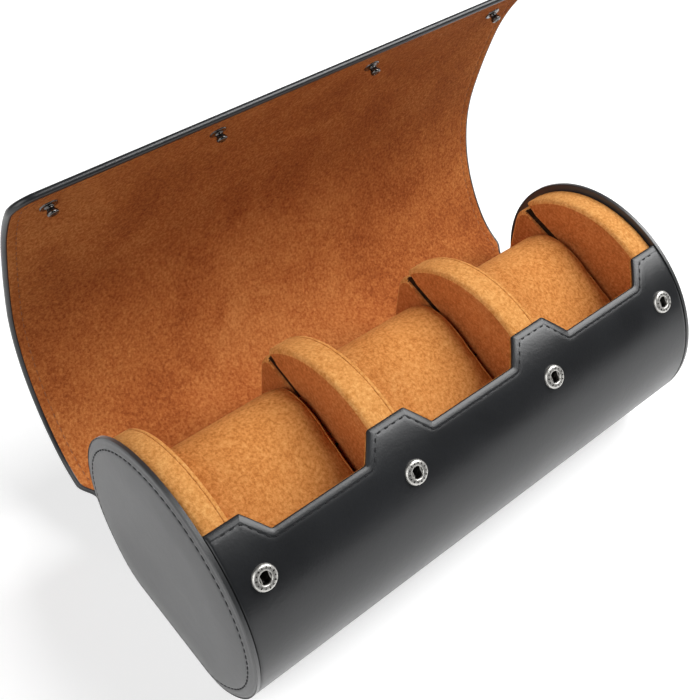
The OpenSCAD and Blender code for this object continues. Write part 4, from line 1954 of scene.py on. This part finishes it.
@dataclass
class Snaps:
    """Four press studs: rings with spring wires on the body, and studs and caps on the flap."""

    path: FlapPath
    places: tuple[float, ...] = (-89.4, -31.4, 31.4, 89.4)
    socket_angle: float = 42.12
    hole_r: float = 2.04
    leather_hole_r: float = 2.0
    leather_hole_z: Pair = (-2.6, 1.0)
    stud_inset: float = 12.0
    marks: int = 14
    mark_half: float = 0.24
    mark_height: float = 0.06
    wire_r: float = 0.24
    wire_x: float = 1.78
    wire_bow: float = 0.45
    wire_half: float = 1.65
    wire_z: float = 0.62
    flats: int = 48

    def socket_frame(self, x: float) -> Matrix:
        """Place of a socket: local +Z points away from the body's axis, at the leather's surface."""
        turn = Matrix.Rotation(math.radians(90 - self.socket_angle), 4, "X")
        return Matrix.Translation((x, 0, SECTION.axis_z)) @ turn @ Matrix.Translation((0, 0, SECTION.radius))

    def stud_frame(self, x: float) -> Matrix:
        """Place of a stud: local +Z points inside, and the origin is in the flap's middle."""
        point, heading = self.path.at(self.path.total - self.stud_inset)
        return Matrix.Translation((x, point[0], point[1])) @ Matrix.Rotation(heading, 4, "X")

    def turned(self, builder: Builder, profile: Sequence[Pair], place: Matrix) -> Array:
        """Adds a turned shape.

        Args:
            builder: The piece that it is added to.
            profile: Points (radius, height), a closed loop where it doesn't touch the axis.
            place: The frame that it stands in.

        Returns:
            Its rings of points.
        """
        angles = full_turn(self.flats)
        rings = np.array([[place @ Vector((r * math.cos(a), r * math.sin(a), h)) for a in angles]
                          for r, h in profile])
        builder.grid(rings, wrap_columns=True)
        return rings

    def sockets(self) -> None:
        """Makes the rings with their marks, the eyelets and the spring wires."""
        ring_profile = [(self.hole_r, -0.2), (self.hole_r, 0.75), (2.12, 1.0), (2.3, 1.12), (2.6, 1.17),
                        (3.0, 1.16), (3.4, 1.10), (3.7, 0.98), (3.95, 0.76), (4.1, 0.45), (4.15, 0.1),
                        (4.1, -0.2), (self.hole_r, -0.2)]
        eyelet_profile = [(0.0, -2.05), (3.4, -2.05), (3.4, -1.65), (2.02, -1.6), (2.02, 0.5), (1.98, 0.55),
                          (1.92, 0.5), (1.9, -1.8), (1.8, -1.88), (0.0, -1.88)]
        rings, marks, wires, eyelets = Builder(), Builder(), Builder(), Builder()
        for x in self.places:
            place = self.socket_frame(x)
            self.turned(rings, ring_profile, place)
            self._marks(marks, place)
            self.turned(eyelets, eyelet_profile, place)
            self._wires(wires, place)
        settle(rings.build("snap_rings", Finish.SNAP_METAL, sharp_deg=60), "base", "snap_metal",
               "snap_sockets")
        settle(marks.build("snap_ring_marks", Finish.MARK_METAL), "base", "snap_metal")
        settle(eyelets.build("snap_eyelets", Finish.EYELET_METAL, sharp_deg=60), "base", "eyelet_metal",
               "socket_eyelets")
        settle(wires.build("snap_springs", Finish.SNAP_METAL), "base", "spring_wire", "socket_springs")

    def pierce(self, piece: Piece) -> None:
        """Cuts a hole in the body's leather under each ring, which a pressed-in stud goes through.

        Args:
            piece: The body's leather.
        """
        builder = Builder()
        for x in self.places:
            profile = [(self.leather_hole_r, height) for height in self.leather_hole_z]
            for end in self.turned(builder, profile, self.socket_frame(x)):
                builder.fan(end, end.mean(0))
        cutter = builder.build("hole_cutter", Finish.BODY_LEATHER)
        carve(piece, [cutter])
        bpy.data.objects.remove(cutter)

    def _marks(self, builder: Builder, place: Matrix) -> None:
        """Adds a circle of small raised ticks to one ring.

        Args:
            builder: The piece that they are added to.
            place: The ring's place.
        """
        for k in range(self.marks):
            turn = place @ Matrix.Rotation(2 * math.pi * (k + 0.5) / self.marks, 4, "Z")
            start, end = (2.75, 3.5) if k % 2 == 0 else (2.9, 3.35)
            rings = []
            for r, size in ((start, 0.3), (start + 0.08, 1.0), (end - 0.08, 1.0), (end, 0.3)):
                height = 1.17 - max(0.0, r - 2.8) ** 2 * 0.22
                wide, high = self.mark_half * size, self.mark_height * size
                rings.append([turn @ Vector((r, wide * math.cos(a), height + high * math.sin(a)))
                              for a in full_turn(8)])
            builder.tube(rings)

    def _wires(self, builder: Builder, place: Matrix) -> None:
        """Adds two bowed spring wires across a socket's mouth.

        Args:
            builder: The piece that they are added to.
            place: The socket's place.
        """
        steps, up = 12, Vector((0, 0, 1))
        for side in (-1, 1):
            line = []
            for k in range(steps + 1):
                t = k / steps * 2 - 1
                reach = self.wire_x - self.wire_bow * (1 - t * t) * 0.5
                line.append(Vector((side * reach, self.wire_half * t, self.wire_z)))
            rings = []
            for k, point in enumerate(line):
                ahead = line[min(k + 1, steps)] - line[max(k - 1, 0)]
                ahead.normalize()
                out = ahead.cross(up).normalized()
                rings.append([place @ (point + (out * math.cos(a) + up * math.sin(a)) * self.wire_r)
                              for a in full_turn(8)])
            builder.tube(rings)

    def studs(self) -> None:
        """Makes the studs inside the flap and the caps outside it."""
        face = self.path.thickness / 2
        stud_profile = [(0.0, face - 0.3), (2.95, face - 0.3), (3.0, face + 0.12), (2.85, face + 0.38),
                        (2.5, face + 0.5), (2.1, face + 0.42), (1.75, face + 0.5), (1.4, face + 0.75),
                        (1.28, face + 1.1), (1.3, face + 1.6), (1.5, face + 1.85), (1.75, face + 2.15),
                        (1.86, face + 2.6), (1.75, face + 3.0), (1.45, face + 3.28), (0.95, face + 3.38),
                        (0.75, face + 3.2), (0.4, face + 3.1), (0.0, face + 3.1)]
        cap_profile = [(0.0, -face + 0.3), (4.75, -face + 0.3), (4.95, -face - 0.1), (4.9, -face - 0.35),
                       (4.5, -face - 0.72), (3.9, -face - 1.02), (3.7, -face - 1.0), (3.5, -face - 1.1),
                       (2.8, -face - 1.34), (1.8, -face - 1.52), (0.9, -face - 1.6), (0.0, -face - 1.62)]
        studs, caps = Builder(), Builder()
        for x in self.places:
            place = self.stud_frame(x)
            self.turned(studs, stud_profile, place)
            self.turned(caps, cap_profile, place)
        body = f"flap_panel_{len(self.path.lengths)}"
        settle(studs.build("flap_studs", Finish.STUD_METAL, sharp_deg=60), body, "stud_metal", "snap_studs")
        settle(caps.build("flap_stud_caps", Finish.SNAP_METAL, sharp_deg=60), body, "stud_cap_metal",
               "stud_caps")

    def make(self) -> None:
        """Makes every snap."""
        self.sockets()
        self.studs()


# ---------------------------------------------------------------- stage


@dataclass
class Stage:
    """Floor, lamps and camera."""

    azimuth: float = 49.252
    elevation: float = 45.189
    roll: float = 9.632
    distance: float = 419.155
    lens_px: float = 1165.44
    centre_px: Pair = (408.97, 411.73)
    axis_px: Pair = (446.78, 258.48)
    picture_px: float = 700.0
    sensor: float = 36.0
    dim_direction: Triple = (0.56, -0.79, 0.25)
    dim_span: Pair = (0.1, 0.9)
    sky_span: Pair = (0.05, 0.85)
    floor_half: float = 4000.0
    floor_z: float = -0.05
    floor_colour: Colour = (0.72, 0.72, 0.72)
    floor_glow: float = 0.56
    aim_z: float = 0.06

    def floor(self) -> None:
        """Makes the pale floor, which keeps the object's shadow."""
        builder = Builder()
        ticks = np.linspace(-self.floor_half, self.floor_half, 9)
        x, y = np.meshgrid(ticks, ticks)
        builder.grid(np.stack([x, y, np.full_like(x, self.floor_z)], axis=-1))
        g = Graph("floor")
        g.set(Base_Color=(*self.floor_colour, 1.0), Roughness=0.9, Specular_IOR_Level=0.1)
        paths = g.tree.nodes.new("ShaderNodeLightPath")
        seen = g.math("ADD", g.math("ADD", paths.outputs["Is Camera Ray"], paths.outputs["Is Glossy Ray"]),
                      paths.outputs["Is Transmission Ray"], clamp=True)
        glow = g.tree.nodes.new("ShaderNodeEmission")
        glow.inputs["Color"].default_value = (1.0, 1.0, 1.0, 1.0)
        g.link(g.math("MULTIPLY", seen, self.floor_glow), glow.inputs["Strength"])
        total = g.tree.nodes.new("ShaderNodeAddShader")
        g.link(g.shader.outputs["BSDF"], total.inputs[0])
        g.link(glow.outputs["Emission"], total.inputs[1])
        g.link(total.outputs["Shader"], g.output.inputs["Surface"])
        mesh_piece = builder.build("floor", recalculate=False)
        mesh_piece.data.materials.append(g.material)

    def lamp(self, name: str, place: Triple, size: float, power: float) -> None:
        """Adds one square soft lamp that points at the case.

        Args:
            name: The lamp's name.
            place: Where it stands, in metres.
            size: Its side in metres.
            power: Its power in watts.
        """
        light = bpy.data.lights.new(name, "AREA")
        light.shape = "SQUARE"
        light.size = size
        light.energy = power
        lamp = bpy.data.objects.new(name, light)
        bpy.context.scene.collection.objects.link(lamp)
        lamp.location = place
        lamp.rotation_mode = "QUATERNION"
        lamp.rotation_quaternion = (Vector((0, 0, self.aim_z)) - Vector(place)).to_track_quat("-Z", "Y")

    def world(self, overhead: float, around: float, dim_side: float) -> None:
        """Sets the light from all round.

        Args:
            overhead: Its strength straight above.
            around: Its strength near the horizon.
            dim_side: What is left of it in front on the right, where the studio is dark.
        """
        world = bpy.data.worlds.new("studio")
        world.use_nodes = True
        tree = world.node_tree
        background = tree.nodes["Background"]
        paths = tree.nodes.new("ShaderNodeLightPath")
        seen = tree.nodes.new("ShaderNodeMath")
        seen.operation = "MAXIMUM"
        tree.links.new(paths.outputs["Is Camera Ray"], seen.inputs[0])
        tree.links.new(paths.outputs["Is Transmission Ray"], seen.inputs[1])
        place = tree.nodes.new("ShaderNodeTexCoord")
        parts = tree.nodes.new("ShaderNodeSeparateXYZ")
        tree.links.new(place.outputs["Generated"], parts.inputs["Vector"])

        def eased(value: Socket, span: Pair, levels: Pair) -> Socket:
            """Goes smoothly from one level to the other.

            Args:
                value: The value that it follows.
                span: Where the change starts and ends.
                levels: The first level and the last.

            Returns:
                The level.
            """
            node = tree.nodes.new("ShaderNodeMapRange")
            node.interpolation_type = "SMOOTHSTEP"
            for name, number in zip(("From Min", "From Max", "To Min", "To Max"), (*span, *levels)):
                node.inputs[name].default_value = number
            tree.links.new(value, node.inputs["Value"])
            return node.outputs["Result"]

        fade = eased(parts.outputs["Z"], self.sky_span, (around, overhead))
        toward = tree.nodes.new("ShaderNodeVectorMath")
        toward.operation = "DOT_PRODUCT"
        toward.inputs[1].default_value = self.dim_direction
        tree.links.new(place.outputs["Generated"], toward.inputs[0])
        dim = eased(toward.outputs["Value"], self.dim_span, (1.0, dim_side))
        lit = tree.nodes.new("ShaderNodeMath")
        lit.operation = "MULTIPLY"
        tree.links.new(fade, lit.inputs[0])
        tree.links.new(dim, lit.inputs[1])
        level = tree.nodes.new("ShaderNodeMix")
        tree.links.new(seen.outputs[0], level.inputs["Factor"])
        tree.links.new(lit.outputs[0], level.inputs["A"])
        level.inputs["B"].default_value = 1.0
        tree.links.new(level.outputs["Result"], background.inputs["Strength"])
        bpy.context.scene.world = world

    def camera(self) -> None:
        """Places the camera."""
        az, el, lean = (math.radians(v) for v in (self.azimuth, self.elevation, self.roll))
        forward = Vector((math.sin(az) * math.cos(el), math.cos(az) * math.cos(el), -math.sin(el)))
        right = forward.cross(Vector((0, 0, 1))).normalized()
        up = right.cross(forward)
        turned_right = right * math.cos(lean) + up * math.sin(lean)
        turned_up = up * math.cos(lean) - right * math.sin(lean)
        offset_x = (self.centre_px[0] - self.axis_px[0]) / self.lens_px * self.distance
        offset_y = (self.centre_px[1] - self.axis_px[1]) / self.lens_px * self.distance
        target = Vector((0, 0, SECTION.axis_z))
        place = target - turned_right * offset_x + turned_up * offset_y - forward * self.distance
        lens = bpy.data.cameras.new("camera")
        lens.sensor_width = self.sensor
        lens.lens = self.lens_px / self.picture_px * self.sensor
        lens.shift_x = 0.5 - self.axis_px[0] / self.picture_px
        lens.shift_y = self.axis_px[1] / self.picture_px - 0.5
        lens.clip_start, lens.clip_end = 0.01, 20.0
        camera = bpy.data.objects.new("camera", lens)
        bpy.context.scene.collection.objects.link(camera)
        camera.matrix_world = Matrix.Translation(place * MM) @ Matrix((
            (turned_right.x, turned_up.x, -forward.x, 0),
            (turned_right.y, turned_up.y, -forward.y, 0),
            (turned_right.z, turned_up.z, -forward.z, 0),
            (0, 0, 0, 1),
        ))
        bpy.context.scene.camera = camera

    def make(self) -> None:
        """Sets the stage."""
        self.floor()
        self.world(overhead=0.42, around=0.56, dim_side=0.20)
        self.lamp("key", (0.55, -0.14, 0.86), size=0.7, power=12.4)
        self.lamp("fill", (-1.10, -0.12, 0.72), size=1.1, power=10.2)
        self.camera()
        bpy.context.scene.view_settings.view_transform = "Standard"


def dress_hidden_boards() -> None:
    """Gives every board that keeps its CAD shape its finish, and warns of other nodes still shown."""
    finishes = {"fibre_board": Finish.BOARD, "spine_board": Finish.BOARD}
    slots = {entry["node"]: entry["material_slot"] for entry in frame["record"]["subparts"]}
    for name, node in frame["nodes"].items():
        finish = finishes.get(slots.get(name, ""))
        if finish and not node.hide_render:
            node.data.materials.clear()
            node.data.materials.append(finish.material())
            LOG.info("%s keeps its CAD shape", name)
        elif not node.hide_render:
            LOG.warning("%s is still shown", name)


def main() -> None:
    """Builds the case."""
    logging.basicConfig(level=logging.INFO, format="%(name)s: %(message)s")
    path = FlapPath()
    Stage().make()
    snaps = Snaps(path)
    BodyPanel().make(snaps.pierce)
    EndCap(-1, "left").make()
    EndCap(1, "right").make()
    Divider("left_end", -99.5, -89.5, slot_left=False, slot_right=True).make()
    Divider("left_mid", -37.2, -26.2, slot_left=True, slot_right=True).make()
    Divider("right_mid", 26.2, 37.2, slot_left=True, slot_right=True).make()
    Divider("right_end", 89.5, 99.5, slot_left=True, slot_right=False).make()
    CushionSet().make()
    Flap(path).make()
    snaps.make()
    dress_hidden_boards()


if __name__ == "__main__":
    main()
